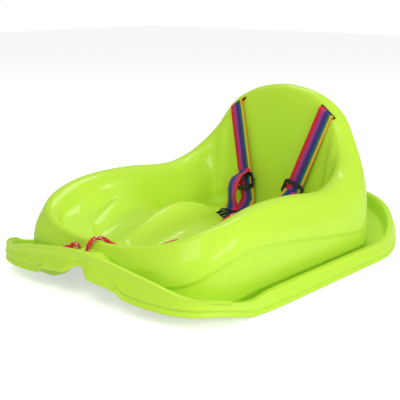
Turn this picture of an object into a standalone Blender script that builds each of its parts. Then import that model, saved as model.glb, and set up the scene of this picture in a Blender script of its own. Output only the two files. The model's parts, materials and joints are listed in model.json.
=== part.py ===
"""Toddler's plastic pull sled: moulded tub on a wide tray, shoulder straps, buckle and tow rope.

Metres, +Z up, +X is the rider's left, -Y is the front, and the soles rest on Z = 0.
Run with: blender --background --python part.py
"""
import math

import bmesh
import bpy
import numpy as np
from mathutils import Matrix, Vector
from mathutils.bvhtree import BVHTree

for old in list(bpy.data.objects):
    bpy.data.objects.remove(old, do_unlink=True)

# Driving sizes of the moulded sheet
SHEET = 0.003
GAP = 0.0003
TRAY_HALF = 0.225
NOSE = 0.332
TAIL = 0.3347
LIP_TOP = 0.028
LIP_FOOT = 0.002
LIP_WIDTH = 0.007
LIP_FLARE = 0.008
LIP_CORNER_DROP = 0.009
LIP_BOW_WIDTH = 0.140
BOW_FLARE = 0.006
BOW_TUCK = 0.007
SOLE_WIDTH = 0.014
BOW_LIFT = 0.020
TAIL_LIFT = 0.032
BRIDGE_TOP = 0.074
BRIDGE_WIDTH = 0.050
LOBE_WIDTH = 0.085

# Driving sizes of the tub
BOW_DEPTH = 0.040
TUB_FRONT = NOSE - BOW_DEPTH
TUB_BACK = 0.164
RIM_HALF = 0.165
RIM_WIDTH = 0.038
RIM_DROP = 0.010
BODY_FOOT_BACK = 0.236
PANEL_FOOT = 0.122
FLOOR_HALF = 0.120
SEAT_LEVEL = 0.044
THIGH_LEVEL = 0.074
TOE_LEVEL = 0.050
POMMEL_RISE = 0.032
POMMEL_HALF = 0.030
RIDGE_RISE = 0.027
RIDGE_HALF = 0.024
# Height of the rim, by degrees round the hub from the front
RIM_STATIONS = ((0, 0.083), (16, 0.088), (29, 0.099), (41, 0.115), (61, 0.132), (90, 0.132),
                (120, 0.1235), (131, 0.132), (138, 0.149), (145, 0.180), (152, 0.224),
                (160, 0.2475), (169, 0.260), (180, 0.265))
HUB_Y = -0.060
PROW = 0.006
PROW_WIDTH = 0.055
RUNNER_START = 0.078
NOTCH_HALF = 0.026
NOTCH_TOP = 0.057
NOTCH_DEPTH = 0.010
LOBE_NICK_X = 0.078
LOBE_NICK_RISE = 0.006

# Driving sizes of the harness
WEB_WIDTH = 0.030
WEB_THICK = 0.0015
SLOT_LENGTH = 0.037
SLOT_HEIGHT = 0.0055
SLOT_X = 0.095
SLOT_BELOW_RIM = 0.013
STRAP_END_X = 0.042
STRAP_END_RISE = 0.020
STRAP_END_OFF = 0.0105
TWIST = 0.0066
ADJUSTER_UP = 0.030
ADJUSTER_WIDTH = 0.040
ADJUSTER_LENGTH = 0.027
ADJUSTER_THICK = 0.0026
ADJUSTER_BAR = 0.0042
LOOP_LENGTH = 0.048
BUCKLE_BAR = 0.004
BUCKLE_WIDTH = 0.039
PLUG_THICK = 0.005
SOCKET_THICK = 0.008
SOCKET_LENGTH = 0.036
PLUG_LENGTH = 0.040

# Driving sizes of the tow rope
ROPE = 0.006
ROPE_HOLE = 0.008
ROPE_HOLE_SPACING = 0.019
ROPE_HOLES_X = -0.012
ROPE_HOLE_INSET = 0.0245
ROPE_HOLE_Y = ROPE_HOLE_INSET - NOSE
COIL_MEAN = 0.060
COIL_X = 0.077
COIL_Y = -0.027
COIL_LAYERS = 3
KNOT = 0.0145
KNOT_X = -0.130
KNOT_BEHIND = 0.0065
KNOT_SQUASH = 0.92


def cubic_table(x, table):
    """Smooth curve through a short list of stations, flat at both ends."""
    xs = np.array([s[0] for s in table], float)
    ys = np.array([s[1] for s in table], float)
    slopes = np.zeros(len(xs))
    slopes[1:-1] = (ys[2:] - ys[:-2]) / (xs[2:] - xs[:-2])
    i = np.clip(np.searchsorted(xs, x, side="right") - 1, 0, len(xs) - 2)
    step = xs[i + 1] - xs[i]
    t = (x - xs[i]) / step
    return ((2 * t**3 - 3 * t**2 + 1) * ys[i] + (t**3 - 2 * t**2 + t) * step * slopes[i]
            + (3 * t**2 - 2 * t**3) * ys[i + 1] + (t**3 - t**2) * step * slopes[i + 1])


def smooth(value, low, high):
    """0 below low, 1 above high, and an even S between them."""
    t = np.clip((value - low) / (high - low), 0, 1)
    return t * t * (3 - 2 * t)


def bell(value, width, power=2):
    """Rounded hill of the given half width, flatter on top at a higher power."""
    return np.exp(-np.abs(value / width) ** power)


def column_angles():
    """Directions round the hub from the front, closest at the notch, corners and shoulders."""
    half = [math.radians(a) for a in (0, 1.2, 2.3, 3.4, 4.5, 6.0, 8.0)]
    for stop, step in ((28, 4.2), (46, 2.6), (130, 5.3), (158, 3.2), (180, 4.4)):
        start = math.degrees(half[-1])
        count = max(1, round((stop - start) / step))
        half += [math.radians(start + (stop - start) * k / count) for k in range(1, count + 1)]
    return np.array(half + [2 * math.pi - a for a in reversed(half[1:-1])])


def outline(angles, half, front, back, front_run, back_run, front_power, back_power):
    """Points of a plan outline: straight sides with a rounded front and back."""
    near, far = np.zeros(len(angles)), np.full(len(angles), 1.0)
    for _ in range(40):
        r = (near + far) / 2
        x, y = r * np.sin(angles), HUB_Y - r * np.cos(angles)
        ahead = np.maximum(-front_run - y, 0) / (front - front_run)
        behind = np.maximum(y - back_run, 0) / (back - back_run)
        power = np.where(y < 0, front_power, back_power)
        inside = (np.abs(x) / half) ** power + (ahead + behind) ** power < 1
        near, far = np.where(inside, r, near), np.where(inside, far, r)
    return near * np.sin(angles), HUB_Y - near * np.cos(angles)


def floor_height(x, y):
    """Seat, thigh rise and toe wells, with the pommel and the two side ridges."""
    base = cubic_table(y, ((-0.32, TOE_LEVEL), (-0.26, TOE_LEVEL + 0.002),
                           (-0.12, THIGH_LEVEL), (0.0, SEAT_LEVEL), (0.2, SEAT_LEVEL)))
    base = np.where(y > 0, SEAT_LEVEL, base)
    along = smooth(y, -0.36, -0.13) * (1 - smooth(y, -0.07, 0.02))
    pommel = POMMEL_RISE * bell(x, POMMEL_HALF) * along
    ridge_x = 0.078 + (y + 0.253) * 0.32
    ridge = RIDGE_RISE * bell(np.abs(x) - ridge_x, RIDGE_HALF) * along
    return base + pommel + ridge


def shell_rings(angles):
    """Rings of the upper surface, from the hub of the tub out to the lip's foot."""
    degrees = np.degrees(np.minimum(angles, 2 * math.pi - angles))
    rim = cubic_table(degrees, RIM_STATIONS)
    tall = smooth(rim, 0.14, 0.24)
    rings = []

    floor_x, floor_y = outline(angles, FLOOR_HALF, TUB_FRONT - 0.040, PANEL_FOOT,
                               0.150, 0.070, 2.2, 5)
    for share in (0.10, 0.24, 0.38, 0.52, 0.65, 0.77, 0.88, 0.96):
        x, y = floor_x * share, HUB_Y + (floor_y - HUB_Y) * share
        rings.append((x, y, floor_height(x, y)))

    def rim_ring(offset, drop, back_shift):
        x, y = outline(angles, RIM_HALF + offset, TUB_FRONT + offset * 0.35,
                       TUB_BACK + back_shift, 0.130, 0.070, 3.3, 3.4)
        return x, y, rim - drop

    lean = 0.5 * RIM_WIDTH
    inner = rim_ring(-lean - 0.004, RIM_DROP + 0.004, -0.015)
    foot_z = floor_height(floor_x, floor_y) + 0.004
    for share in (0.0, 0.12, 0.55):
        x = floor_x + (inner[0] - floor_x) * share
        y = floor_y + (inner[1] - floor_y) * share
        rings.append((x, y, foot_z + (inner[2] - foot_z) * (share + 0.35 * share * (1 - share))))
    rings.append(inner)
    rings.append(rim_ring(-lean * 0.62, RIM_DROP * 0.30, -0.009))
    crest = len(rings)
    rings.append(rim_ring(0, 0, 0.0))
    rings.append(rim_ring(lean * 0.62, RIM_DROP * 0.30, 0.006))
    outer = rim_ring(lean, RIM_DROP + 0.002, 0.010)
    rings.append(outer)

    body_half = TRAY_HALF - LIP_FLARE - LIP_WIDTH - 0.006 - SOLE_WIDTH
    bridge = bell(outer[0], BRIDGE_WIDTH, 4) * smooth(-outer[1], 0.15, 0.28)
    foot_x, foot_y = outline(angles, body_half, TUB_FRONT + 0.007, BODY_FOOT_BACK,
                             0.140, 0.080, 4.2, 2.3)

    def at_front(y):
        return smooth(-y, 0.20, 0.28)

    def sweep(y):
        """How far the tray curves up at the bow and at the tail."""
        return BOW_LIFT * smooth(-y, 0.200, 0.300) + TAIL_LIFT * smooth(y, 0.150, 0.320)

    def sole_height(x, y):
        level = SHEET + sweep(y)
        return level + (BRIDGE_TOP - 0.002 - level) * bell(x, BRIDGE_WIDTH, 4) * at_front(y)

    foot_z = sole_height(foot_x, foot_y)
    for share, bulge in ((0.35, 0.006), (0.70, 0.004)):
        x = outer[0] + (foot_x - outer[0]) * share
        y = outer[1] + (foot_y - outer[1]) * share
        out = bulge * (1 - bridge)
        size = np.hypot(x, y - HUB_Y)
        x, y = x * (1 + out / size), HUB_Y + (y - HUB_Y) * (1 + out / size)
        rings.append((x, y, outer[2] + (foot_z - outer[2]) * share))
    rings.append((foot_x, foot_y, foot_z))

    ahead = smooth(np.cos(angles), 0.35, 0.75)

    def tray_outline(inset, front_inset, lean):
        """Outline of the tray, moved in by the lean at the two front corners."""
        return outline(angles, TRAY_HALF - inset - lean * ahead, NOSE - front_inset, TAIL - inset,
                       0.225, 0.110, 4.0, 1.95)

    lip_in = LIP_FLARE + LIP_WIDTH
    x, y = tray_outline(lip_in + 0.006, 0.020, -0.004)
    rings.append((x, y, sole_height(x, y)))
    # The lip's crest, carried up over the bridge in front and lower at the front corners
    for inset, front_inset, top in ((lip_in, 0.014, BRIDGE_TOP), (LIP_FLARE, 0.008, BRIDGE_TOP - 0.001)):
        x, y = tray_outline(inset, front_inset, -BOW_FLARE)
        corner = smooth(-y, 0.17, 0.27) * smooth(np.abs(x), 0.12, 0.19)
        z = LIP_TOP - LIP_CORNER_DROP * corner + sweep(y)
        rings.append((x, y, z + (top - z) * bell(x, LIP_BOW_WIDTH) * at_front(y)))
    # The lip's outer face with its fold line, the two lobes of the bow and the notch between them
    for inset, front_inset, lean, height, top, wide, push, nick in (
            (0.0045, 0.008, -0.002, 0.020, BRIDGE_TOP - 0.014, LIP_BOW_WIDTH, 0.5, 0),
            (0.0010, 0.002, 0.004, 0.011, 0.046, LOBE_WIDTH, 1.0, 1),
            (0.0035, 0.004, 0.004, 0.0095, 0.044, LOBE_WIDTH, 1.0, 1),
            (0.0, 0.0, BOW_TUCK, LIP_FOOT, LIP_FOOT + BOW_LIFT + 0.016, LOBE_WIDTH, 1.0, 1)):
        x, y = tray_outline(inset, front_inset, lean)
        z, front = height + sweep(y), at_front(y)
        z = z + (top - z) * bell(x, wide) * front
        z = z + nick * LOBE_NICK_RISE * bell(np.abs(x) - LOBE_NICK_X, 0.006) * front
        notch = (1 - smooth(np.abs(x), NOTCH_HALF * 0.12, NOTCH_HALF)) * front
        y = y - PROW * bell(x, PROW_WIDTH) * front * push + NOTCH_DEPTH * push * notch
        z = z + np.maximum(NOTCH_TOP + 0.004 * (1 - push) - z, 0) * notch
        rings.append((x, y, z))
    # The runner band under the fold line fades out where the lobes begin
    lip = rings[-3]
    plain = (1 - smooth(np.abs(lip[0]), RUNNER_START - 0.012, RUNNER_START)) * at_front(lip[1])
    for row, drop in ((-2, 0.0015), (-1, 0.0040)):
        target = (lip[0], lip[1] - 0.0001, lip[2] - drop)
        rings[row] = tuple(a + (b - a) * plain for a, b in zip(rings[row], target))
    return rings, crest


def new_object(name, bm, material):
    mesh = bpy.data.meshes.new(name)
    bmesh.ops.recalc_face_normals(bm, faces=bm.faces)
    bm.to_mesh(mesh)
    bm.free()
    obj = bpy.data.objects.new(name, mesh)
    if material:
        obj.data.materials.append(material)
    bpy.context.scene.collection.objects.link(obj)
    return obj


def plastic(name, colour, roughness):
    mat = bpy.data.materials.new(name)
    mat.use_nodes = True
    shader = mat.node_tree.nodes["Principled BSDF"]
    shader.inputs["Base Color"].default_value = (*colour, 1)
    shader.inputs["Roughness"].default_value = roughness
    shader.inputs["Metallic"].default_value = 0
    mat.diffuse_color = (*colour, 1)
    return mat


def ribbon(name, points, wides, width, thick, material, closed=False):
    """Solid strip of webbing along points, with its width along the given directions."""
    count = len(points)
    bm = bmesh.new()
    rows = []
    for k in range(count):
        ahead = points[(k + 1) % count] if closed or k < count - 1 else points[k]
        behind = points[k - 1] if closed or k > 0 else points[k]
        wide = wides[k] * (width / 2)
        deep = (ahead - behind).cross(wides[k]).normalized() * (thick / 2)
        corners = (wide + deep, -wide + deep, -wide - deep, wide - deep)
        rows.append([bm.verts.new(points[k] + c) for c in corners])
    pairs = list(zip(rows, rows[1:]))
    if closed:
        pairs.append((rows[-1], rows[0]))
    for a, b in pairs:
        for k in range(4):
            bm.faces.new((a[k], a[(k + 1) % 4], b[(k + 1) % 4], b[k]))
    if not closed:
        bm.faces.new(rows[0])
        bm.faces.new(reversed(rows[-1]))
    return new_object(name, bm, material)


def plate(name, outlines, thick, edge, material):
    """Flat plate with rounded edges, from an outer outline and its holes, about Z = 0."""
    curve = bpy.data.curves.new(name, "CURVE")
    curve.dimensions = "2D"
    curve.fill_mode = "BOTH"
    curve.extrude = thick / 2 - edge
    curve.bevel_depth = edge
    curve.bevel_resolution = 1
    curve.offset = -edge
    for points in outlines:
        spline = curve.splines.new("POLY")
        spline.points.add(len(points) - 1)
        for p, (x, y) in zip(spline.points, points):
            p.co = (x, y, 0, 1)
        spline.use_cyclic_u = True
    obj = bpy.data.objects.new(name, curve)
    curve.materials.append(material)
    bpy.context.scene.collection.objects.link(obj)
    return obj


def rounded_box(x0, x1, y0, y1, radius, steps=3):
    points = []
    for cx, cy, start in ((x1 - radius, y1 - radius, 0), (x0 + radius, y1 - radius, 90),
                          (x0 + radius, y0 + radius, 180), (x1 - radius, y0 + radius, 270)):
        for k in range(steps + 1):
            a = math.radians(start + 90 * k / steps)
            points.append((cx + radius * math.cos(a), cy + radius * math.sin(a)))
    return points


def block(name, size, matrix):
    bm = bmesh.new()
    bmesh.ops.create_cube(bm, size=1, matrix=matrix @ Matrix.Diagonal((*size, 1)))
    return new_object(name, bm, None)


def box(name, low, high):
    size = [b - a for a, b in zip(low, high)]
    middle = [(a + b) / 2 for a, b in zip(low, high)]
    return block(name, size, Matrix.Translation(middle))


def cut(target, tool):
    """Take the tool's shape out of the target, apply it, and drop the tool."""
    modifier = target.modifiers.new("cut", "BOOLEAN")
    modifier.operation = "DIFFERENCE"
    modifier.solver = "EXACT"
    modifier.object = tool
    apply_modifiers(target)
    bpy.data.objects.remove(tool, do_unlink=True)


def apply_modifiers(obj):
    graph = bpy.context.evaluated_depsgraph_get()
    mesh = bpy.data.meshes.new_from_object(obj.evaluated_get(graph), depsgraph=graph)
    obj.modifiers.clear()
    obj.data = mesh


def lower_surface(grid, hub):
    """The sheet's underside: the upper grid of rings moved in by the sheet's thickness."""
    ahead, behind = np.roll(grid, -1, axis=1), np.roll(grid, 1, axis=1)
    outer = np.concatenate([grid[1:], grid[-1:]])
    inner = np.concatenate([np.broadcast_to(hub, grid[:1].shape), grid[:-1]])
    quarters = [np.cross(a - grid, b - grid) for a, b in
                ((outer, ahead), (ahead, inner), (inner, behind), (behind, outer))]
    normals = []
    for quarter in quarters:
        size = np.linalg.norm(quarter, axis=2, keepdims=True)
        normals.append(np.where(size > 1e-12, quarter / np.maximum(size, 1e-12), 0))
    normals[0][-1], normals[3][-1] = 0, 0
    mean = sum(normals)
    mean = mean / np.linalg.norm(mean, axis=2, keepdims=True)
    shares = [np.sum(mean * n, axis=2) for n in normals]
    shares = [np.where(np.any(n != 0, axis=2), s, 1) for s, n in zip(shares, normals)]
    mitre = 1 / np.clip(np.min(shares, axis=0), 0.62, 1)
    return grid - mean * (SHEET * mitre)[..., None]


def make_shell():
    angles = column_angles()
    rings, crest = shell_rings(angles)
    grid = np.array([np.stack(ring, axis=-1) for ring in rings])
    hub = np.array((0, HUB_Y, float(floor_height(np.array(0.0), np.array(HUB_Y)))))
    under = lower_surface(grid, hub)
    sole = crest + 5
    under[sole:sole + 2, :, 2] = grid[sole:sole + 2, :, 2] - SHEET
    bm = bmesh.new()
    sides = []
    for surface, centre in ((grid, hub), (under, hub - np.array((0, 0, SHEET)))):
        middle = bm.verts.new(centre)
        rows = [[bm.verts.new(p) for p in ring] for ring in surface]
        sides.append(rows)
        count = len(angles)
        for k in range(count):
            bm.faces.new((middle, rows[0][k], rows[0][(k + 1) % count]))
            for a, b in zip(rows, rows[1:]):
                bm.faces.new((a[k], b[k], b[(k + 1) % count], a[(k + 1) % count]))
    top, bottom = sides[0][-1], sides[1][-1]
    for k in range(count):
        bm.faces.new((top[k], bottom[k], bottom[(k + 1) % count], top[(k + 1) % count]))
    lime = plastic("lime_plastic", (0.45, 0.75, 0.05), 0.25)
    obj = new_object("sled_shell", bm, lime)
    return obj


def cut_openings(obj, slots):
    """Two shoulder slots in the backrest's front wall, and two rope holes in the bridge."""
    for point, across, _ in slots:
        matrix = frame_at(point, across, (0, 1, 0))
        cut(obj, block("slot_tool", (SLOT_LENGTH, 0.020, SLOT_HEIGHT), matrix))
    for side in (-1, 1):
        bm = bmesh.new()
        x = ROPE_HOLES_X + side * ROPE_HOLE_SPACING / 2
        place = Matrix.Translation((x, ROPE_HOLE_Y, BRIDGE_TOP - 0.004))
        bmesh.ops.create_cone(bm, cap_ends=True, segments=16, radius1=ROPE_HOLE / 2,
                              radius2=ROPE_HOLE / 2, depth=0.020, matrix=place)
        cut(obj, new_object("hole_tool", bm, None))


def frame_at(origin, x_axis, y_axis):
    """Matrix with the given origin, X axis and rough Y axis."""
    x = Vector(x_axis).normalized()
    z = x.cross(Vector(y_axis)).normalized()
    y = z.cross(x)
    matrix = Matrix((x, y, z)).transposed().to_4x4()
    matrix.translation = Vector(origin)
    return matrix


def slot_places():
    """Middle, long direction and side of each shoulder slot, from the rim just above it."""
    angles = column_angles()
    rings, crest = shell_rings(angles)
    x, y, z = (values[len(angles) // 4:len(angles) // 2 + 1][::-1] for values in rings[crest])
    low, high = SLOT_X - 0.3 * SLOT_LENGTH, SLOT_X + 0.3 * SLOT_LENGTH
    fall = (np.interp(high, x, z) - np.interp(low, x, z)) / (high - low)
    inner_x, inner_y, inner_z = (values[len(angles) // 4:len(angles) // 2 + 1][::-1]
                                 for values in rings[crest - 2])
    top = float(np.interp(SLOT_X, x, z)) - SLOT_BELOW_RIM
    face = float(np.interp(SLOT_X, inner_x, inner_y))
    along = Vector((1, 0, fall)).normalized()
    return [(Vector((side * SLOT_X, face, top)), Vector((side * along.x, 0, along.z)), side)
            for side in (-1, 1)]


shell = make_shell()
tree = BVHTree.FromObject(shell, bpy.context.evaluated_depsgraph_get())
slots = slot_places()
cut_openings(shell, slots)


def back_face(x, z):
    """Y of the backrest's front face, looking back from over the seat."""
    return tree.ray_cast(Vector((x, 0.060, z)), Vector((0, 1, 0)))[0].y


def floor_face(x, y):
    """Z of the tub's floor, looking down from above it."""
    return tree.ray_cast(Vector((x, y, 0.250)), Vector((0, 0, -1)))[0].z


class Strap:
    """Straight run of one shoulder strap, from its slot down to the loop below the adjuster."""

    def __init__(self, slot, outward, side):
        self.slot, self.outward, self.side = slot, outward, side
        self.across = outward * side
        lift = 0.5 * WEB_THICK + 0.0008
        self.top = Vector((slot.x, back_face(slot.x, slot.z) - lift, slot.z))
        x, z = side * STRAP_END_X, SEAT_LEVEL + STRAP_END_RISE
        self.end = Vector((x, back_face(x, z) - STRAP_END_OFF, z))
        self.measure()
        shift = Vector((0, min(self.room() - lift, 0), 0))
        self.top += shift
        self.end += shift
        self.measure()

    def measure(self):
        """Direction, width direction and front of the straight run."""
        self.length = (self.end - self.top).length
        self.down = (self.end - self.top).normalized()
        self.wide = self.down.cross(Vector((0, 1, 0))).normalized()
        self.front = self.down.cross(self.wide)

    def room(self):
        """Least distance in Y from the webbing's middle to the backrest, along both edges."""
        rooms = []
        for k in range(13):
            distance = self.length * k / 12
            for edge in (-0.5, 0, 0.5):
                spot = self.at(distance) + self.wide_at(distance) * (WEB_WIDTH * edge)
                rooms.append(back_face(spot.x, spot.z) - spot.y)
        return min(rooms)

    def at(self, distance):
        return self.top + self.down * distance

    def wide_at(self, distance):
        """The webbing leaves the slot along it, and ends level with the loop."""
        start = float(smooth(distance, 0.0, 0.022))
        level = float(smooth(distance, self.length - TWIST, self.length))
        wide = self.across.lerp(self.wide, start)
        return wide.lerp(Vector((1, 0, 0)), level).normalized()


webbing = plastic("rainbow_webbing", (0.25, 0.05, 0.35), 0.85)
black = plastic("black_plastic", (0.01, 0.01, 0.012), 0.3)
tow_red = plastic("red_rope", (0.75, 0.04, 0.03), 0.9)
straps = {"left": Strap(*slots[1]), "right": Strap(*slots[0])}


def make_strap(name, strap):
    shares = [0.0, 0.006, 0.013, 0.022, 0.070, 0.115, strap.length - TWIST,
              strap.length - TWIST / 2, strap.length]
    points = [strap.at(d) for d in shares]
    wides = [strap.wide_at(d) for d in shares]
    return ribbon("strap_" + name, points, wides, WEB_WIDTH, WEB_THICK, webbing)


def make_harness_web():
    """Webbing from slot to slot, inside the hollow backrest."""
    points, wides = [], []
    for name in ("left", "right"):
        strap = straps[name]
        x, z = strap.slot.x, strap.slot.z
        face = back_face(x, z)
        upright = Vector((0.25 * strap.side, 0, -1)).normalized()
        start = strap.top.y + WEB_THICK / 2 + 0.0006
        run = [(Vector((x, start, z)), strap.outward),
               (Vector((x, face + 0.0045, z)), strap.outward),
               (Vector((x - strap.side * 0.0010, face + 0.0080, z)), strap.outward)]
        for share, blend in ((0.14, 0.35), (0.34, 0.75), (0.65, 1.0)):
            px, pz = x * (1 - share), z - 0.012 * blend
            y = back_face(px, pz) + SHEET + 0.0052
            run.append((Vector((px, y, pz)), strap.outward.lerp(upright, blend).normalized()))
        if name == "right":
            run.reverse()
        points += [p for p, _ in run]
        wides += [w for _, w in run]
    return ribbon("harness_web", points, wides, WEB_WIDTH, WEB_THICK, webbing)


def merge(target, tool):
    """Join two overlapping solids into one skin."""
    modifier = target.modifiers.new("merge", "BOOLEAN")
    modifier.operation = "UNION"
    modifier.solver = "EXACT"
    modifier.object = tool
    apply_modifiers(target)
    bpy.data.objects.remove(tool, do_unlink=True)


def make_adjuster(name, strap):
    """Ladder slide: a frame in front of the webbing and a raised middle bar behind it."""
    clear = WEB_THICK / 2 + GAP
    half, reach = ADJUSTER_WIDTH / 2, ADJUSTER_LENGTH / 2
    inner = WEB_WIDTH / 2 + 0.0014
    outer = rounded_box(-half, half, -reach, reach, 0.005)
    window = rounded_box(-inner, inner, -reach + ADJUSTER_BAR, reach - ADJUSTER_BAR, 0.002, 2)
    frame = plate("adjuster_" + name, (outer, window), ADJUSTER_THICK, 0.0007, black)
    frame = curve_to_mesh(frame)
    frame.data.transform(Matrix.Translation((0, 0, clear + ADJUSTER_THICK / 2)))
    bar = ADJUSTER_BAR * 0.75
    top = clear + ADJUSTER_THICK
    merge(frame, box("bar", (-half + 0.0008, -bar, -top), (half - 0.0008, bar, -clear)))
    for side in (-1, 1):
        low, high = sorted((side * (inner + 0.0002), side * (half - 0.0010)))
        merge(frame, box("post", (low, -bar + 0.0004, -clear - 0.0010),
                         (high, bar - 0.0004, clear + 0.0010)))
    frame.matrix_world = frame_at(strap.at(strap.length - ADJUSTER_UP), strap.wide, -strap.down)
    return frame


def curve_to_mesh(obj):
    """Replace a curve object by its solid mesh under the same name."""
    graph = bpy.context.evaluated_depsgraph_get()
    mesh = bpy.data.meshes.new_from_object(obj.evaluated_get(graph), depsgraph=graph)
    bm = bmesh.new()
    bm.from_mesh(mesh)
    bmesh.ops.remove_doubles(bm, verts=bm.verts, dist=0.00002)
    name, material = obj.name, obj.data.materials[0]
    bpy.data.objects.remove(obj, do_unlink=True)
    return new_object(name, bm, material)


def bend_radius(thick):
    """Radius of the webbing's middle line round a buckle's bar."""
    return thick / 2 + WEB_THICK / 2 + 0.0009


def bar_place(strap, thick):
    """Middle of the buckle's bar, where the loop's lower leg lies on the seat."""
    seat = SEAT_LEVEL + WEB_THICK / 2 + 0.0004
    return Vector((strap.end.x, strap.end.y - LOOP_LENGTH, seat + bend_radius(thick)))


def lay_buckle(buckle, strap, thick, length):
    """Put a buckle half on its loop, with its free end tipped down onto the seat."""
    bar = bar_place(strap, thick)
    dip = math.asin((bar.z - thick / 2 - SEAT_LEVEL - 2 * GAP) / length)
    buckle.matrix_world = frame_at(bar, (-1, 0, 0), (0, -math.cos(dip), -math.sin(dip)))


def make_loop(name, strap, thick):
    """Closed loop of webbing from the strap's end round the buckle's bar."""
    seat = SEAT_LEVEL + WEB_THICK / 2 + 0.0004 - strap.end.z
    radius = bend_radius(thick)
    side = [(0.0021, -0.0016), (0.0055, seat * 0.45), (0.0120, seat * 0.84), (0.0200, seat),
            (LOOP_LENGTH * 0.75, seat)]
    for k in range(7):
        turn = math.pi * (k / 6 - 0.5)
        side.append((LOOP_LENGTH + radius * math.cos(turn),
                     seat + radius + radius * math.sin(turn)))
    side += [(LOOP_LENGTH * 0.84, seat + 2 * radius + 0.0018), (LOOP_LENGTH * 0.60, -0.0025),
             (LOOP_LENGTH * 0.36, 0.0024), (LOOP_LENGTH * 0.17, 0.0027), (0.0043, 0.0010)]
    points = [strap.end + Vector((0, -g, h)) for g, h in side]
    wides = [Vector((1, 0, 0))] * len(points)
    return ribbon("loop_" + name, points, wides, WEB_WIDTH, WEB_THICK, webbing, closed=True)


def bar_end_outline(thick):
    """Outer and window outlines of a buckle's webbing end, along +Y from its bar."""
    half, inner = BUCKLE_WIDTH / 2, WEB_WIDTH / 2 + 0.0012
    window_end = bend_radius(thick) + WEB_THICK / 2 + 0.0008
    window = rounded_box(-inner, inner, BUCKLE_BAR / 2, window_end, 0.0008, 1)
    return half, window, window_end


def make_plug(strap):
    """Prong half of the side-release buckle."""
    half, window, shoulder = bar_end_outline(PLUG_THICK)
    back, base, tip = -BUCKLE_BAR / 2, shoulder + 0.0060, PLUG_LENGTH - BUCKLE_BAR / 2
    right = [(half - 0.0015, back), (half, back + 0.0015), (half, shoulder + 0.002),
             (half - 0.0030, base), (0.0142, base + 0.0010), (0.0130, base + 0.0030),
             (0.0128, tip - 0.0130), (0.0152, tip - 0.0110), (0.0152, tip - 0.0060),
             (0.0120, tip - 0.0005), (0.0100, tip), (0.0092, tip - 0.0030),
             (0.0092, base + 0.0030), (0.0070, base + 0.0012), (0.0040, base + 0.0030),
             (0.0034, tip - 0.0030), (0.0020, tip - 0.0010)]
    outer = right + [(-x, y) for x, y in reversed(right)]
    plug = plate("buckle_plug", (outer, window), PLUG_THICK, 0.0008, black)
    plug = curve_to_mesh(plug)
    lay_buckle(plug, strap, PLUG_THICK, tip)
    return plug


def make_socket(strap):
    """Hollow half of the buckle, open at its front and both sides for the prongs."""
    half, window, shoulder = bar_end_outline(SOCKET_THICK)
    back, tip = -BUCKLE_BAR / 2, SOCKET_LENGTH - BUCKLE_BAR / 2
    right = [(half - 0.0020, back), (half, back + 0.0020), (half, tip - 0.012),
             (half - 0.0016, tip - 0.004), (half - 0.0040, tip)]
    outer = right + [(-x, y) for x, y in reversed(right)]
    socket = plate("buckle_socket", (outer, window), SOCKET_THICK, 0.0010, black)
    socket = curve_to_mesh(socket)
    inner, room = 0.0147, PLUG_THICK / 2 + GAP
    cut(socket, box("cavity", (-inner, shoulder + 0.004, -room), (inner, tip + 0.01, room)))
    cut(socket, box("sides", (-half - 0.01, tip - 0.0165, -room),
                    (half + 0.01, tip - 0.0075, room)))
    lay_buckle(socket, strap, SOCKET_THICK, tip)
    return socket


def seated_knot(x, y):
    """Middle of a knot that rests on the shell at x, y."""
    radius = KNOT / 2
    height = 0
    for ring in range(7):
        reach = radius * 0.98 * ring / 6
        rise = KNOT_SQUASH * math.sqrt(radius**2 - reach**2)
        for k in range(16):
            a = 2 * math.pi * k / 16
            height = max(height, floor_face(x + reach * math.cos(a), y + reach * math.sin(a)) + rise)
    return Vector((x, y, height + GAP))


def laid(x, y):
    """Middle of the rope where it lies on the shell at x, y."""
    near = [floor_face(x + dx, y + dy) for dx in (-0.002, 0, 0.002) for dy in (-0.003, 0, 0.003)]
    return Vector((x, y, max(near) + ROPE / 2 + 2 * GAP))


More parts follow.
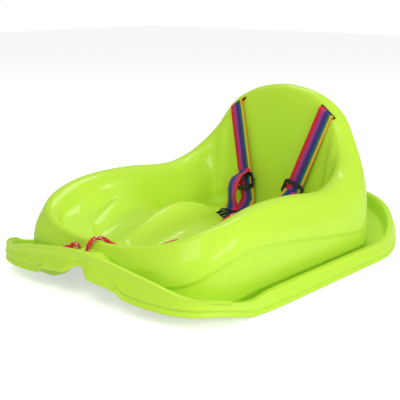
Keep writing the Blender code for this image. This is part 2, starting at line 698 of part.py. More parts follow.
def make_rope():
    """Rope from its stopper knot down and up through the bridge, over the rim and into the tub."""
    hole, deck = ROPE_HOLE_SPACING / 2, BRIDGE_TOP - 0.002
    knot = seated_knot(KNOT_X, ROPE_HOLE_Y + KNOT_BEHIND)
    # Along the gutter behind the lip and up onto its crest, by distance behind the holes
    points = [laid(x, ROPE_HOLE_Y + behind) for x, behind in (
        (-0.1170, 0.0050), (-0.1080, 0.0040), (-0.0990, 0.0030), (-0.0900, 0.0022),
        (-0.0820, 0.0012), (-0.0740, 0.0), (-0.0670, -0.0018), (-0.0600, -0.0040),
        (-0.0530, -0.0056), (-0.0460, -0.0062), (-0.0395, -0.0060), (-0.0340, -0.0048))]
    points.insert(0, knot + (points[0] - knot).normalized() * (KNOT / 2 + GAP))
    points += [Vector((x, ROPE_HOLE_Y + behind, z)) for x, behind, z in (
        (-0.0290, -0.0026, 0.0765), (-0.0240, -0.0010, 0.0768),
        (ROPE_HOLES_X - hole, 0, 0.0740))]
    # A half turn under the sheet between the two holes
    for k in range(13):
        a = math.pi * k / 12
        points.append(Vector((ROPE_HOLES_X - hole * math.cos(a), ROPE_HOLE_Y,
                              deck - SHEET - hole * math.sin(a))))
    # Over the rim and down inside it
    points += [Vector((x, ROPE_HOLE_Y + behind, z)) for x, behind, z in (
        (-0.0023, 0.0010, 0.0755), (-0.0018, 0.0032, 0.0805), (0.0000, 0.0090, 0.0862),
        (0.0035, 0.0155, 0.0876), (0.0090, 0.0225, 0.0850), (0.0160, 0.0295, 0.0780),
        (0.0245, 0.0370, 0.0730))]
    # Beside the near wall and round to the coil
    points += [laid(x, y) for x, y in (
        (0.0340, -0.2635), (0.0455, -0.2565), (0.0600, -0.2480), (0.0745, -0.2380),
        (0.0870, -0.2260), (0.0975, -0.2120), (0.1055, -0.1960), (0.1115, -0.1790),
        (0.1155, -0.1610), (0.1172, -0.1430), (0.1172, -0.1250), (0.1150, -0.1080),
        (0.1105, -0.0935), (0.1035, -0.0825), (0.0950, -0.0755), (0.0860, -0.0720),
        (0.0770, -0.0705), (0.0680, -0.0705))]
    curve = bpy.data.curves.new("tow_rope", "CURVE")
    curve.dimensions = "3D"
    curve.bevel_depth = ROPE / 2
    curve.bevel_resolution = 2
    curve.use_fill_caps = True
    spline = curve.splines.new("POLY")
    spline.points.add(len(points) - 1)
    for p, place in zip(spline.points, points):
        p.co = (*place, 1)
    curve.materials.append(tow_red)
    obj = bpy.data.objects.new("tow_rope", curve)
    bpy.context.scene.collection.objects.link(obj)
    return knot


def coil_frame():
    """The coil lies on the seat's front slope: its middle and its tilt about X."""
    reach = COIL_MEAN / 2 + ROPE
    ends = [max(floor_face(COIL_X + dx, COIL_Y + side * reach) for dx in (-0.012, 0, 0.012))
            for side in (-1, 1)]
    tilt = math.atan2(ends[1] - ends[0], 2 * reach)
    height = ROPE * (1 + (COIL_LAYERS - 1) * 0.87)
    middle = Vector((COIL_X, COIL_Y, sum(ends) / 2 + height / 2 + 0.0008))
    return middle, tilt, height


def make_coil():
    """Outer shape of the coiled rope."""
    middle, tilt, height = coil_frame()
    matrix = Matrix.Translation(middle) @ Matrix.Rotation(tilt, 4, "X")
    bm = bmesh.new()
    rows = []
    section = rounded_box(-ROPE, ROPE, -height / 2, height / 2, 0.0028, 2)
    turns = 36
    for k in range(turns):
        a = 2 * math.pi * k / turns
        rows.append([bm.verts.new(matrix @ Vector(((COIL_MEAN / 2 + r) * math.cos(a),
                                                   (COIL_MEAN / 2 + r) * math.sin(a), z)))
                     for r, z in section])
    for k in range(turns):
        a, b = rows[k], rows[(k + 1) % turns]
        for m in range(len(section)):
            n = (m + 1) % len(section)
            bm.faces.new((a[m], a[n], b[n], b[m]))
    return new_object("tow_rope_coil", bm, tow_red)


def make_knot(name, place):
    bm = bmesh.new()
    squat = Matrix.Diagonal((1, KNOT_SQUASH, KNOT_SQUASH, 1))
    bmesh.ops.create_icosphere(bm, subdivisions=2, radius=KNOT / 2,
                               matrix=Matrix.Translation(place) @ squat)
    return new_object(name, bm, tow_red)


for name, strap in straps.items():
    make_strap(name, strap)
    make_adjuster(name, strap)
make_loop("left", straps["left"], SOCKET_THICK)
make_loop("right", straps["right"], PLUG_THICK)
make_harness_web()
make_socket(straps["left"])
make_plug(straps["right"])
stopper = make_rope()
make_knot("stopper_knot", stopper)
make_coil()
middle, tilt, height = coil_frame()
inside = COIL_MEAN / 2 - ROPE - KNOT / 2 - 0.0006
end_x, end_y = middle.x + inside * 0.5, middle.y + inside * 0.8
make_knot("end_knot", seated_knot(end_x, end_y))
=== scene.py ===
# %% [markdown]
# A toddler's plastic sled is one sheet of polyethylene, drawn down over a mould into a tub with a
# high back and a wide tray. Everything soft on it is threaded through that sheet: a length of
# striped webbing with its buckle, and a tow rope. The measured model comes in first as a frame of
# named solids, and most pieces made below are parented to an empty named for one of its bodies.

# %% Load the measured model
import json
import math

import bpy
import numpy as np
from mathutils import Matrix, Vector


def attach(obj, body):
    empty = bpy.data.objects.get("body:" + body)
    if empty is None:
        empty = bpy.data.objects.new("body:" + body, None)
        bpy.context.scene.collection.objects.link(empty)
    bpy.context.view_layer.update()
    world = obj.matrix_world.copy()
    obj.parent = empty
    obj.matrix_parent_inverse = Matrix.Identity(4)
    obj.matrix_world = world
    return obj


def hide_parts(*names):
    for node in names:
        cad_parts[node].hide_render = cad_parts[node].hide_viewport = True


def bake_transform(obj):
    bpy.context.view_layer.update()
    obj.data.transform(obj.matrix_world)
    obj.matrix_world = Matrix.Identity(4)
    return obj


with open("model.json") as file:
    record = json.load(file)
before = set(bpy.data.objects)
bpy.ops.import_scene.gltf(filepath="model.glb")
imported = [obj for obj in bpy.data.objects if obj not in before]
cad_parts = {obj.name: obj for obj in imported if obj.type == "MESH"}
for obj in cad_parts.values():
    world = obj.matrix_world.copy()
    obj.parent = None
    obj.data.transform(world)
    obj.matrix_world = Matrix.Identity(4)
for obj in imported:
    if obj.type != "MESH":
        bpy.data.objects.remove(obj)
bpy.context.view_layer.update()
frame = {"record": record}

# %% [markdown]
# The camera comes before anything is made. A long lens about a metre and a half away keeps the
# tray's two long sides nearly parallel, as they are in a catalogue picture, and a low angle shows
# the outside of the tub and only a little of the seat. Two angles and a distance set its place,
# because each of them can be read off a picture without the others.

# %% Camera
AIM = Vector((-0.10576, 0.05148, 0.060))
ROUND, UP, AWAY = math.radians(41), math.radians(14), 1.536
FOCAL, PICTURE = 860, 400  # in pixels of a square picture

camera_data = bpy.data.cameras.new("camera")
camera_data.lens = FOCAL / PICTURE * camera_data.sensor_width
camera = bpy.data.objects.new("camera", camera_data)
bpy.context.scene.collection.objects.link(camera)
outward = Vector((math.sin(ROUND) * math.cos(UP), -math.cos(ROUND) * math.cos(UP), math.sin(UP)))
camera.location = AIM + outward * AWAY
camera.rotation_euler = (-outward).to_track_quat("-Z", "Y").to_euler()
bpy.context.scene.camera = camera
print("lens", round(camera_data.lens, 1), "mm")

# %% [markdown]
# The mould's shape can be written down as a family of outlines, one inside another: floor, rim,
# outer wall, tray and lip. Each is a superellipse, a curve that slides between an oval and a
# rounded box as its power grows. A few small curve helpers give all of them, and each takes whole
# arrays of angles at once, so that no loop over points is needed.

# %% Curve helpers
HUB = -0.060  # y of the point on the middle line where every ray starts
HALVINGS = 40


def ease(value, low, high):
    """0 below low, 1 above high, and 3t^2 - 2t^3 in between."""
    t = np.clip((value - low) / (high - low), 0, 1)
    return t * t * (3 - 2 * t)


def hump(value, width, power=2):
    """A rounded hill, e to the power of minus |value / width|^power, flatter at a high power."""
    return np.exp(-np.abs(value / width) ** power)


def hermite(t, a, b, slope_a, slope_b):
    """The cubic that goes from a to b as t goes from 0 to 1, with the given slopes at its ends."""
    return ((2 * t**3 - 3 * t**2 + 1) * a + (3 * t**2 - 2 * t**3) * b
            + (t**3 - 2 * t**2 + t) * slope_a + (t**3 - t**2) * slope_b)


def through_stations(x, stations):
    """Cubics through the stations, each with the slope of its two neighbours, flat at the ends."""
    xs, ys = np.array(stations, float).T
    slopes = np.zeros(len(xs))
    slopes[1:-1] = (ys[2:] - ys[:-2]) / (xs[2:] - xs[:-2])
    i = np.clip(np.searchsorted(xs, x, side="right") - 1, 0, len(xs) - 2)
    step = xs[i + 1] - xs[i]
    return hermite((x - xs[i]) / step, ys[i], ys[i + 1], step * slopes[i], step * slopes[i + 1])


def superellipse(angle, half, nose, tail, nose_run, tail_run, nose_power, tail_power):
    """Where a ray from the hub meets |x / half|^p + |overrun / length|^p = 1, by halving.

    The overrun is how far y lies past the straight run towards the nose or towards the tail, and
    the length is what is left from there to the end.
    """
    near, far = np.zeros_like(angle), np.ones_like(angle)
    for _ in range(HALVINGS):
        r = (near + far) / 2
        x, y = r * np.sin(angle), HUB - r * np.cos(angle)
        ahead = np.maximum(-nose_run - y, 0) / (nose - nose_run)
        behind = np.maximum(y - tail_run, 0) / (tail - tail_run)
        power = np.where(y < 0, nose_power, tail_power)
        inside = (np.abs(x) / half) ** power + (ahead + behind) ** power < 1
        near, far = np.where(inside, r, near), np.where(inside, far, r)
    return near * np.sin(angle), HUB - near * np.cos(angle)


print("outlines are found to", 2.0 ** -HALVINGS, "m")

# %% [markdown]
# The rays from the hub are crowded where the shape turns fast: at the bow's notch, the tray's
# corners and the shoulders of the backrest. Even spacing would need three times the points for the
# same crispness there.

# %% Rays from the hub
NOTCH_RAYS = [0, 1.2, 2.3, 3.4, 4.5, 6.0, 8.0]
RAY_SPANS = ((28, 4.2), (46, 2.6), (130, 5.3), (158, 3.2), (180, 4.4))  # up to, and how far apart


def ray_angles(between):
    """Degrees from the front down one side, mirrored, with each gap cut in `between` parts."""
    side = list(NOTCH_RAYS)
    for stop, step in RAY_SPANS:
        count = round((stop - side[-1]) / step)
        side += list(np.linspace(side[-1], stop, count + 1)[1:])
    ring = np.array(side + [360 - a for a in side[-2:0:-1]] + [360])
    fine = np.interp(np.arange((len(ring) - 1) * between) / between, np.arange(len(ring)), ring)
    return np.radians(fine)


def degrees_back(angle):
    """Degrees from the front, the same on both sides: 0 at the nose, 180 at the tail."""
    return np.degrees(np.minimum(angle, 2 * np.pi - angle))


angle = ray_angles(4)
print(len(angle), "rays")

# %% [markdown]
# The seat is a flat pan that climbs to the thighs and drops again to the toe wells. A pommel runs
# down the middle, and a ridge along each side holds the legs apart from the walls. All three are
# the same rounded hill, laid across the sled at different places.

# %% Seat floor
PAN = 0.044
THIGHS = ((-0.32, 0.050), (-0.26, 0.052), (-0.12, 0.074), (0.0, PAN), (0.2, PAN))  # y, height
POMMEL_HIGH, POMMEL_WIDE = 0.032, 0.030
RIDGE_HIGH, RIDGE_WIDE = 0.027, 0.024
RIDGE_X, RIDGE_Y, RIDGE_SPLAY = 0.078, -0.253, 0.32


def seat_floor(x, y):
    """Stations along the length, flat behind y = 0, plus the hills of the pommel and the ridges."""
    level = np.where(y > 0, PAN, through_stations(y, THIGHS))
    along = ease(y, -0.36, -0.13) * (1 - ease(y, -0.07, 0.02))
    pommel = POMMEL_HIGH * hump(x, POMMEL_WIDE)
    ridges = RIDGE_HIGH * hump(np.abs(x) - RIDGE_X - (y - RIDGE_Y) * RIDGE_SPLAY, RIDGE_WIDE)
    return level + (pommel + ridges) * along


print("pommel stands", round(float(seat_floor(0.0, -0.12)), 3), "m above the ground")

# %% [markdown]
# The rim rises from the bow to the shoulders in an easy line and then climbs steeply to the top of
# the backrest. Reading that line off at a few angles is more faithful than one formula, because
# the eye goes straight to it.

# %% Rim, floor and outer wall
RIM = ((0, 0.083), (16, 0.088), (29, 0.099), (41, 0.115), (61, 0.132), (90, 0.132), (120, 0.1235),
       (131, 0.132), (138, 0.149), (145, 0.180), (152, 0.224), (160, 0.2475), (169, 0.260),
       (180, 0.265))  # degrees from the front, height
# Outlines: half width, reach of nose and tail, straight run to each, power at each.
FLOOR_LINE = (0.120, 0.252, 0.122, 0.150, 0.070, 2.2, 5)
RIM_LINE = (0.165, 0.292, 0.164, 0.130, 0.070, 3.3, 3.4)
FOOT_LINE = (0.190, 0.299, 0.236, 0.140, 0.080, 4.2, 2.3)
SHEET = 0.003
BOW_RISE, TAIL_RISE = 0.020, 0.032
BRIDGE_TOP, BRIDGE_HALF = 0.072, 0.050
FLOOR_RINGS = 20


def at_front(y):
    """0 behind y = -0.20, 1 ahead of y = -0.28, eased in between."""
    return ease(-y, 0.20, 0.28)


def sweep(y):
    """How far the tray curves up, eased in towards the bow and the tail."""
    return BOW_RISE * ease(-y, 0.200, 0.300) + TAIL_RISE * ease(y, 0.150, 0.320)


def tray_floor(x, y):
    """The gutter's level, raised into a bridge by a flat-topped hill in the middle of the bow."""
    level = SHEET + sweep(y)
    return level + (BRIDGE_TOP - level) * hump(x, BRIDGE_HALF, 4) * at_front(y)


def tub_rings(angle):
    """Floor, inner wall, rim and outer wall, as rings of points that share their rays."""
    rim = through_stations(degrees_back(angle), RIM)
    fx, fy = superellipse(angle, *FLOOR_LINE)
    rings = []
    for share in np.linspace(0.04, 0.96, FLOOR_RINGS):
        x, y = fx * share, HUB + (fy - HUB) * share
        rings.append((x, y, seat_floor(x, y)))

    def rim_ring(offset, drop, back_shift):
        """The rim's outline moved out by offset, a third as much at the nose, and let down."""
        half, nose, tail, *rest = RIM_LINE
        x, y = superellipse(angle, half + offset, nose + offset * 0.35, tail + back_shift, *rest)
        return x, y, rim - drop

    inner, outer = rim_ring(-0.023, 0.014, -0.015), rim_ring(0.019, 0.012, 0.010)
    foot = seat_floor(fx, fy) + 0.004
    for share in (0.0, 0.12, 0.55):
        x, y = fx + (inner[0] - fx) * share, fy + (inner[1] - fy) * share
        rise = share + 0.35 * share * (1 - share)
        rings.append((x, y, foot + (inner[2] - foot) * rise))
    rings += [inner, rim_ring(-0.01178, 0.003, -0.009), rim_ring(0, 0, 0),
              rim_ring(0.01178, 0.003, 0.006), outer]

    bridge = hump(outer[0], BRIDGE_HALF, 4) * ease(-outer[1], 0.15, 0.28)
    wx, wy = superellipse(angle, *FOOT_LINE)
    wz = tray_floor(wx, wy)
    for share, bulge in ((0.35, 0.006), (0.70, 0.004)):
        x, y = outer[0] + (wx - outer[0]) * share, outer[1] + (wy - outer[1]) * share
        grow = 1 + bulge * (1 - bridge) / np.hypot(x, y - HUB)
        rings.append((x * grow, HUB + (y - HUB) * grow, outer[2] + (wz - outer[2]) * share))
    rings.append((wx, wy, wz))
    return rings


tub = tub_rings(angle)
print("tub:", len(tub), "rings")

# %% [markdown]
# The tray ends in a lip that stiffens it: up from the gutter, over a narrow crest and down to a
# fold with a runner band below. In front the lip climbs over the bridge, splits into two lobes and
# has a notch in the middle, where the rope would otherwise rub on it.

# %% Tray and lip
LIP_LINE = (0.225, 0.332, 0.3347, 0.225, 0.110, 4.0, 1.95)
CREST = ((0.015, 0.014, 0.074), (0.008, 0.008, 0.073))  # inset, inset at the nose, bridge height
# Inset, inset at the nose, lean, height, bridge height, its half width, push of the lobes, nick.
OUTER_FACE = ((0.0045, 0.008, -0.002, 0.020, 0.060, 0.140, 0.5, 0),
              (0.0010, 0.002, 0.004, 0.011, 0.046, 0.085, 1, 1),
              (0.0035, 0.004, 0.004, 0.0095, 0.044, 0.085, 1, 1),
              (0.0, 0.0, 0.007, 0.002, 0.038, 0.085, 1, 1))
LOBE_REACH, NOTCH_BACK, NOTCH_TOP = 0.006, 0.010, 0.057
NICK_X, NICK = 0.078, 0.006


def tray_rings(angle):
    """The gutter, the lip's crest and its outer face, with the bridge, lobes and notch."""
    ahead = ease(np.cos(angle), 0.35, 0.75)

    def plan(inset, nose_inset, lean):
        """The lip's outline moved in by the insets, and wider or narrower towards the bow."""
        half, nose, tail, *rest = LIP_LINE
        return superellipse(angle, half - inset - lean * ahead, nose - nose_inset, tail - inset,
                            *rest)

    x, y = plan(0.021, 0.020, -0.004)
    rings = [(x, y, tray_floor(x, y))]
    for inset, nose_inset, top in CREST:
        x, y = plan(inset, nose_inset, -0.006)
        corner = ease(-y, 0.17, 0.27) * ease(np.abs(x), 0.12, 0.19)
        z = 0.028 - 0.009 * corner + sweep(y)
        rings.append((x, y, z + (top - z) * hump(x, 0.140) * at_front(y)))
    for inset, nose_inset, lean, height, top, wide, push, nick in OUTER_FACE:
        x, y = plan(inset, nose_inset, lean)
        z, front = height + sweep(y), at_front(y)
        z = z + (top - z) * hump(x, wide) * front
        z = z + nick * NICK * hump(np.abs(x) - NICK_X, NICK) * front
        notch = (1 - ease(np.abs(x), 0.0031, 0.026)) * front
        y = y - LOBE_REACH * hump(x, 0.055) * front * push + NOTCH_BACK * push * notch
        z = z + np.maximum(NOTCH_TOP + 0.004 * (1 - push) - z, 0) * notch
        rings.append((x, y, z))

    lip = rings[-3]
    plain = (1 - ease(np.abs(lip[0]), 0.066, NICK_X)) * at_front(lip[1])
    for row, drop in ((-2, 0.0015), (-1, 0.0040)):  # no runner band under the lobes
        target = (lip[0], lip[1] - 0.0001, lip[2] - drop)
        rings[row] = tuple(a + (b - a) * plain for a, b in zip(rings[row], target))
    return rings


tray = tray_rings(angle)
print("tray:", len(tray), "rings")

# %% [markdown]
# Between two rings the sheet flows in a smooth curve. A cubic whose slope is the harmonic mean of
# the slopes on either side never swings past its points, so the soles stay flat on the ground and
# the rim keeps its height. Catmull-Rom curves would dip below the floor beside the lip.

# %% Fill in between the rings
# Rows in each band, for floor, inner wall, rim, outer wall, gutter and lip.
BANDS = [1] * (FLOOR_RINGS - 1) + [3, 4, 9, 8] + [4] * 4 + [12, 12, 9] + [5] + [5, 4, 5, 4, 3, 4]


def flow(points, steps):
    """Cubics along the first axis with harmonic-mean slopes over chord length, steps to each."""
    chord = np.linalg.norm(np.diff(points, axis=0), axis=2)[..., None] + 1e-9
    secant = np.diff(points, axis=0) / chord
    a, b = secant[:-1], secant[1:]
    same = a * b > 0
    inner = np.where(same, 2 * a * b / np.where(same, a + b, 1), 0)
    slope = np.concatenate([secant[:1], inner, secant[-1:]])
    rows = [hermite((np.arange(count) / count)[:, None, None], points[k], points[k + 1],
                    chord[k] * slope[k], chord[k] * slope[k + 1])
            for k, count in enumerate(steps)]
    return np.concatenate(rows + [points[-1:]])


rings = np.array([np.stack(ring, -1) for ring in tub + tray])
top_skin = flow(rings, BANDS)
print("sheet:", top_skin.shape[0], "rows by", top_skin.shape[1], "rays")

# %% [markdown]
# Two details are too fine for the rings. A pressed crease runs along each outer wall, highest a
# quarter of the way back, and the sheet steps out by 3 mm above it. Inside, a fold stands at each
# side of the backrest, where the flat panel meets the curved sides. Both stiffen the sheet. A
# displacement along the rays makes them, because it moves points that are already there.

# %% Pressed crease and backrest folds
CREASE = ((-0.300, 0.044), (-0.285, 0.046), (-0.235, 0.070), (-0.180, 0.083), (-0.100, 0.076),
          (0.020, 0.058), (0.120, 0.046), (0.200, 0.044))  # y, height
CREASE_STEP = 0.003
FOLD_DEGREES, FOLD_WIDE, FOLD_HIGH = 147.5, 2.2, 0.005
FLOOR_EDGE, INNER_RIM, OUTER_RIM, WALL_FOOT, GUTTER_EDGE = 20, 23, 27, 30, 31  # ring numbers
starts = np.cumsum([0] + BANDS)


def press_details(grid):
    """Push the walls out above the crease's line, and the inner wall in by a hill at the folds."""
    way = grid - (0, HUB, 0)
    way[..., 2] = 0
    way /= np.linalg.norm(way, axis=2, keepdims=True) + 1e-9
    x, y, z = np.moveaxis(grid, -1, 0)
    line = through_stations(y, CREASE)
    step = ease(z, line - 0.003, line + 0.002) * (1 - ease(z, line + 0.012, line + 0.045))
    step *= ease(np.abs(x), 0.09, 0.13) * (1 - ease(y, 0.06, 0.15))
    fold = hump(degrees_back(angle) - FOLD_DEGREES, FOLD_WIDE)
    fold = fold * ease(z, 0.052, 0.070) * (1 - ease(z, 0.150, 0.200))
    row = np.arange(len(grid))[:, None]
    wall = (row > starts[OUTER_RIM]) & (row < starts[WALL_FOOT])
    inner = (row > starts[FLOOR_EDGE]) & (row < starts[INNER_RIM])
    push = CREASE_STEP * step * wall - FOLD_HIGH * fold * inner
    return grid + way * push[..., None]


top_skin = press_details(top_skin)
print("crease at most", max(height for _, height in CREASE), "m above the ground")

# %% [markdown]
# A sheet has two faces. The lower one is the upper one moved in by the 3 mm of plastic along its
# normals, and the two are sewn together round the edge and closed over the hub. The soles are
# pressed exactly flat, since the sled stands on them. A Solidify modifier would do the first, but
# not the second.

# %% Put a grid of points into a mesh
def object_from(name, points, faces, smooth=True):
    """A new object at the origin, with its place in its mesh."""
    mesh = bpy.data.meshes.new(name)
    mesh.from_pydata(points.tolist(), [], faces)
    mesh.polygons.foreach_set("use_smooth", np.full(len(mesh.polygons), smooth))
    mesh.update()
    piece = bpy.data.objects.new(name, mesh)
    bpy.context.scene.collection.objects.link(piece)
    return piece


def grid_faces(rows, columns, start=0, flip=False):
    """Quads between neighbouring rows, with the last column joined to the first."""
    k, m = np.meshgrid(np.arange(rows - 1), np.arange(columns), indexing="ij")
    a, b = start + k * columns + m, start + k * columns + (m + 1) % columns
    quads = np.stack([a, a + columns, b + columns, b], -1).reshape(-1, 4)
    return (quads[:, ::-1] if flip else quads).tolist()


def grid_normals(grid, hub):
    """Cross product of the steps along the rays and round them, at every point."""
    before = np.concatenate([np.broadcast_to(hub, grid[:1].shape), grid[:-1]])
    after = np.concatenate([grid[1:], grid[-1:]])
    across = np.roll(grid, -1, axis=1) - np.roll(grid, 1, axis=1)
    normal = np.cross(after - before, across)
    return normal / (np.linalg.norm(normal, axis=2, keepdims=True) + 1e-12)


def moulded_sheet(name, top, thick, sole_rows):
    """The top skin and its copy moved along the normals, joined at the edge and at the hub."""
    hub = np.array([0, HUB, seat_floor(0.0, HUB)])
    bottom = top - grid_normals(top, hub) * thick
    first, last = sole_rows
    bottom[first:last, :, 2] = top[first:last, :, 2] - thick
    rows, columns = top.shape[:2]
    size = rows * columns
    faces = grid_faces(rows, columns) + grid_faces(rows, columns, size, flip=True)
    k = np.arange(columns)
    n, edge, middle = (k + 1) % columns, size - columns, np.full(columns, 2 * size)
    rim = np.stack([edge + k, edge + size + k, edge + size + n, edge + n], -1)
    above, below = np.stack([middle, k, n], -1), np.stack([middle + 1, size + n, size + k], -1)
    for trio in zip(rim.tolist(), above.tolist(), below.tolist()):
        faces += trio
    points = np.concatenate([top.reshape(-1, 3), bottom.reshape(-1, 3), [hub],
                             [hub - (0, 0, thick)]])
    return object_from(name, points, faces)


shell = moulded_sheet("moulded_shell", top_skin, SHEET,
                      (starts[WALL_FOOT], starts[GUTTER_EDGE] + 1))
print("shell has", len(shell.data.polygons), "faces")

# %% [markdown]
# The two shoulder slots and the two rope holes are cut after moulding on the real sled, so they
# are cut here as well. A cutter is a slim bar with rounded ends, and one Boolean takes all four
# out of the sheet.

# %% Cut the slots and the rope holes
SLOT = Vector((0.095, 0.14244, 0.22641))
SLOT_TILT = math.atan2(0.54052, 0.84133)
SLOT_WIDE, SLOT_HIGH = 0.037, 0.0055
HOLE_X, HOLE_Y, HOLE_APART = -0.012, -0.3075, 0.019
HOLE_WIDE, HOLE_HIGH = 0.0081, 0.008  # a hair wider than high, so that no two points meet
CUT_DEEP = 0.020


def rounded_bar(width, height, depth, count=12):
    """Outline of a slot, a half circle at each end, as rows at -depth / 2 and depth / 2."""
    turn = np.linspace(-np.pi / 2, np.pi / 2, count)
    x = np.concatenate([np.cos(turn), -np.cos(turn)]) * height / 2
    x += np.repeat([1, -1], count) * (width - height) / 2
    z = np.concatenate([np.sin(turn), -np.sin(turn)]) * height / 2
    ring = np.stack([x, np.zeros_like(x), z], -1)
    return np.stack([ring - (0, depth / 2, 0), ring + (0, depth / 2, 0)])


def cutter_points():
    """Two bars turned in the backrest's plane for the slots, two stood upright for the holes."""
    bars = []
    for side in (-1, 1):
        bar = rounded_bar(SLOT_WIDE, SLOT_HIGH, CUT_DEEP)
        c, s = math.cos(SLOT_TILT), -side * math.sin(SLOT_TILT)
        x, z = bar[..., 0] * c - bar[..., 2] * s, bar[..., 0] * s + bar[..., 2] * c
        bars.append(np.stack([x + side * SLOT.x, bar[..., 1] + SLOT.y, z + SLOT.z], -1))
        hole = rounded_bar(HOLE_WIDE, HOLE_HIGH, CUT_DEEP)
        bars.append(np.stack([hole[..., 0] + HOLE_X + side * HOLE_APART / 2, hole[..., 2] + HOLE_Y,
                              -hole[..., 1] + 0.070], -1))
    return bars


def cut_openings(piece):
    """Subtract the four capped bars from the piece, and keep the plain mesh that is left."""
    points, faces, start = [], [], 0
    for bar in cutter_points():
        count = bar.shape[1]
        faces += grid_faces(2, count, start)
        faces += [tuple(range(start + count - 1, start - 1, -1)),
                  tuple(range(start + count, start + 2 * count))]
        points.append(bar.reshape(-1, 3))
        start += 2 * count
    tool = object_from("cutter", np.concatenate(points), faces, smooth=False)
    tool.data.validate()
    cut = piece.modifiers.new("openings", "BOOLEAN")
    cut.operation, cut.solver, cut.object = "DIFFERENCE", "EXACT", tool
    graph = bpy.context.evaluated_depsgraph_get()
    mesh = bpy.data.meshes.new_from_object(piece.evaluated_get(graph), depsgraph=graph)
    piece.modifiers.clear()
    piece.data = mesh
    bpy.data.objects.remove(tool, do_unlink=True)
    print(piece.name, "after cutting:", len(mesh.polygons), "faces")


cut_openings(shell)
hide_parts("sled_shell")
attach(shell, "sled")

# %% [markdown]
# A finish is a small graph of nodes round one Principled shader. Written out by hand each node
# takes four or five lines, so three helpers make a node, a sum or a mix in one line each, and
# take either a plain value or another node's output.

# %% Material helpers
def new_material(name, base, roughness=0.5):
    """A fresh Principled material; returns it with its node tree and shader."""
    material = bpy.data.materials.new(name)
    material.use_nodes = True
    tree = material.node_tree
    shader = tree.nodes["Principled BSDF"]
    shader.inputs["Base Color"].default_value = (*base, 1)
    shader.inputs["Roughness"].default_value = roughness
    material.diffuse_color = (*base, 1)
    return material, tree, shader


def feed(tree, socket, value):
    """Link an output to the socket, or set the socket's own value."""
    if isinstance(value, bpy.types.NodeSocket):
        tree.links.new(value, socket)
    else:
        socket.default_value = value


def node(tree, kind, settings=None, **inputs):
    """Add a node, set its properties, and set or link its inputs by name."""
    new = tree.nodes.new(kind)
    for key, value in (settings or {}).items():
        setattr(new, key, value)
    for key, value in inputs.items():
        feed(tree, new.inputs[key.replace("_", " ")], value)
    return new


def maths(tree, operation, a, b=0.5, clamp=False):
    """One Math node on a and b."""
    new = node(tree, "ShaderNodeMath", {"operation": operation, "use_clamp": clamp})
    for socket, value in zip(new.inputs, (a, b)):
        feed(tree, socket, value)
    return new.outputs[0]


def blend_colours(tree, share, a, b):
    """Colour a at share 0, colour b at share 1, and their mixture between."""
    new = node(tree, "ShaderNodeMix", {"data_type": "RGBA"})
    for socket, value in zip((new.inputs[0], new.inputs[6], new.inputs[7]), (share, a, b)):
        feed(tree, socket, value)
    return new.outputs[2]


def noise(tree, place, scale, detail):
    """Noise at so many waves a metre, from 0 to 1."""
    return node(tree, "ShaderNodeTexNoise", Vector=place, Scale=scale, Detail=detail).outputs[0]


def rough_up(tree, shader, strength, distance, height):
    """Bump the shader's normal by the height."""
    bump = node(tree, "ShaderNodeBump", Strength=strength, Distance=distance, Height=height)
    tree.links.new(bump.outputs[0], shader.inputs["Normal"])


def finish_piece(piece, material):
    """Give the whole piece one material."""
    piece.data.materials.clear()
    piece.data.materials.append(material)
    return piece


# %% [markdown]
# Polyethylene is glossy but never mirror-flat: the sheet has a faint orange-peel from the mould,
# and light enters it a little way, which keeps its shaded parts a strong green. Two highlights lie
# over each other on such a skin, a wide dull one and a narrow sharp one, so the base is satin and a
# thin clear coat gives the gloss. Sand and gravel dull the soles and the outer band first, so the
# roughness rises towards the ground.

# %% Glossy green polyethylene
def green_plastic():
    """Cloudy tint, scuffs that fade out 25 mm above the ground, orange-peel bump, thin coat."""
    material, tree, shader = new_material("glossy_green_polyethylene", (0.51, 0.79, 0.028))
    place = node(tree, "ShaderNodeTexCoord").outputs["Object"]
    cloud = noise(tree, place, 9.0, 3.0)
    tint = blend_colours(tree, cloud, (0.48, 0.77, 0.024, 1), (0.54, 0.81, 0.032, 1))
    tree.links.new(tint, shader.inputs["Base Color"])
    height = node(tree, "ShaderNodeSeparateXYZ", Vector=place).outputs["Z"]
    low = maths(tree, "SUBTRACT", 1.0, maths(tree, "MULTIPLY", height, 40.0), clamp=True)
    worn = maths(tree, "MULTIPLY", low, noise(tree, place, 260.0, 5.0))
    rough = maths(tree, "ADD", maths(tree, "MULTIPLY", worn, 0.30),
                  maths(tree, "MULTIPLY", cloud, 0.10))
    tree.links.new(maths(tree, "ADD", rough, 0.64), shader.inputs["Roughness"])
    rough_up(tree, shader, 0.05, 0.0004, noise(tree, place, 420.0, 2.0))
    shader.inputs["Subsurface Weight"].default_value = 0.12
    shader.inputs["Subsurface Radius"].default_value = (0.8, 1.0, 0.25)
    shader.inputs["Subsurface Scale"].default_value = 0.006
    shader.inputs["IOR"].default_value = 1.51
    shader.inputs["Coat Weight"].default_value = 0.22
    shader.inputs["Coat Roughness"].default_value = 0.11
    return material


finish_piece(shell, green_plastic())
print("shell finished in", shell.data.materials[0].name)

# %% [markdown]
# Webbing and rope are both a section carried along a line. The line is a Catmull-Rom curve read off
# at even steps, and every ring of points keeps its distance along the line and its share across the
# section as UV, so that stripes, weave and braid follow each bend and still hold when it moves.

# %% Carry a section along a line
WEB_WIDE, WEB_THICK = 0.030, 0.0015


def distance_along(spots):
    """Running sum of the straight steps between the spots, from 0."""
    return np.concatenate([[0], np.cumsum(np.linalg.norm(np.diff(spots, axis=0), axis=1))])


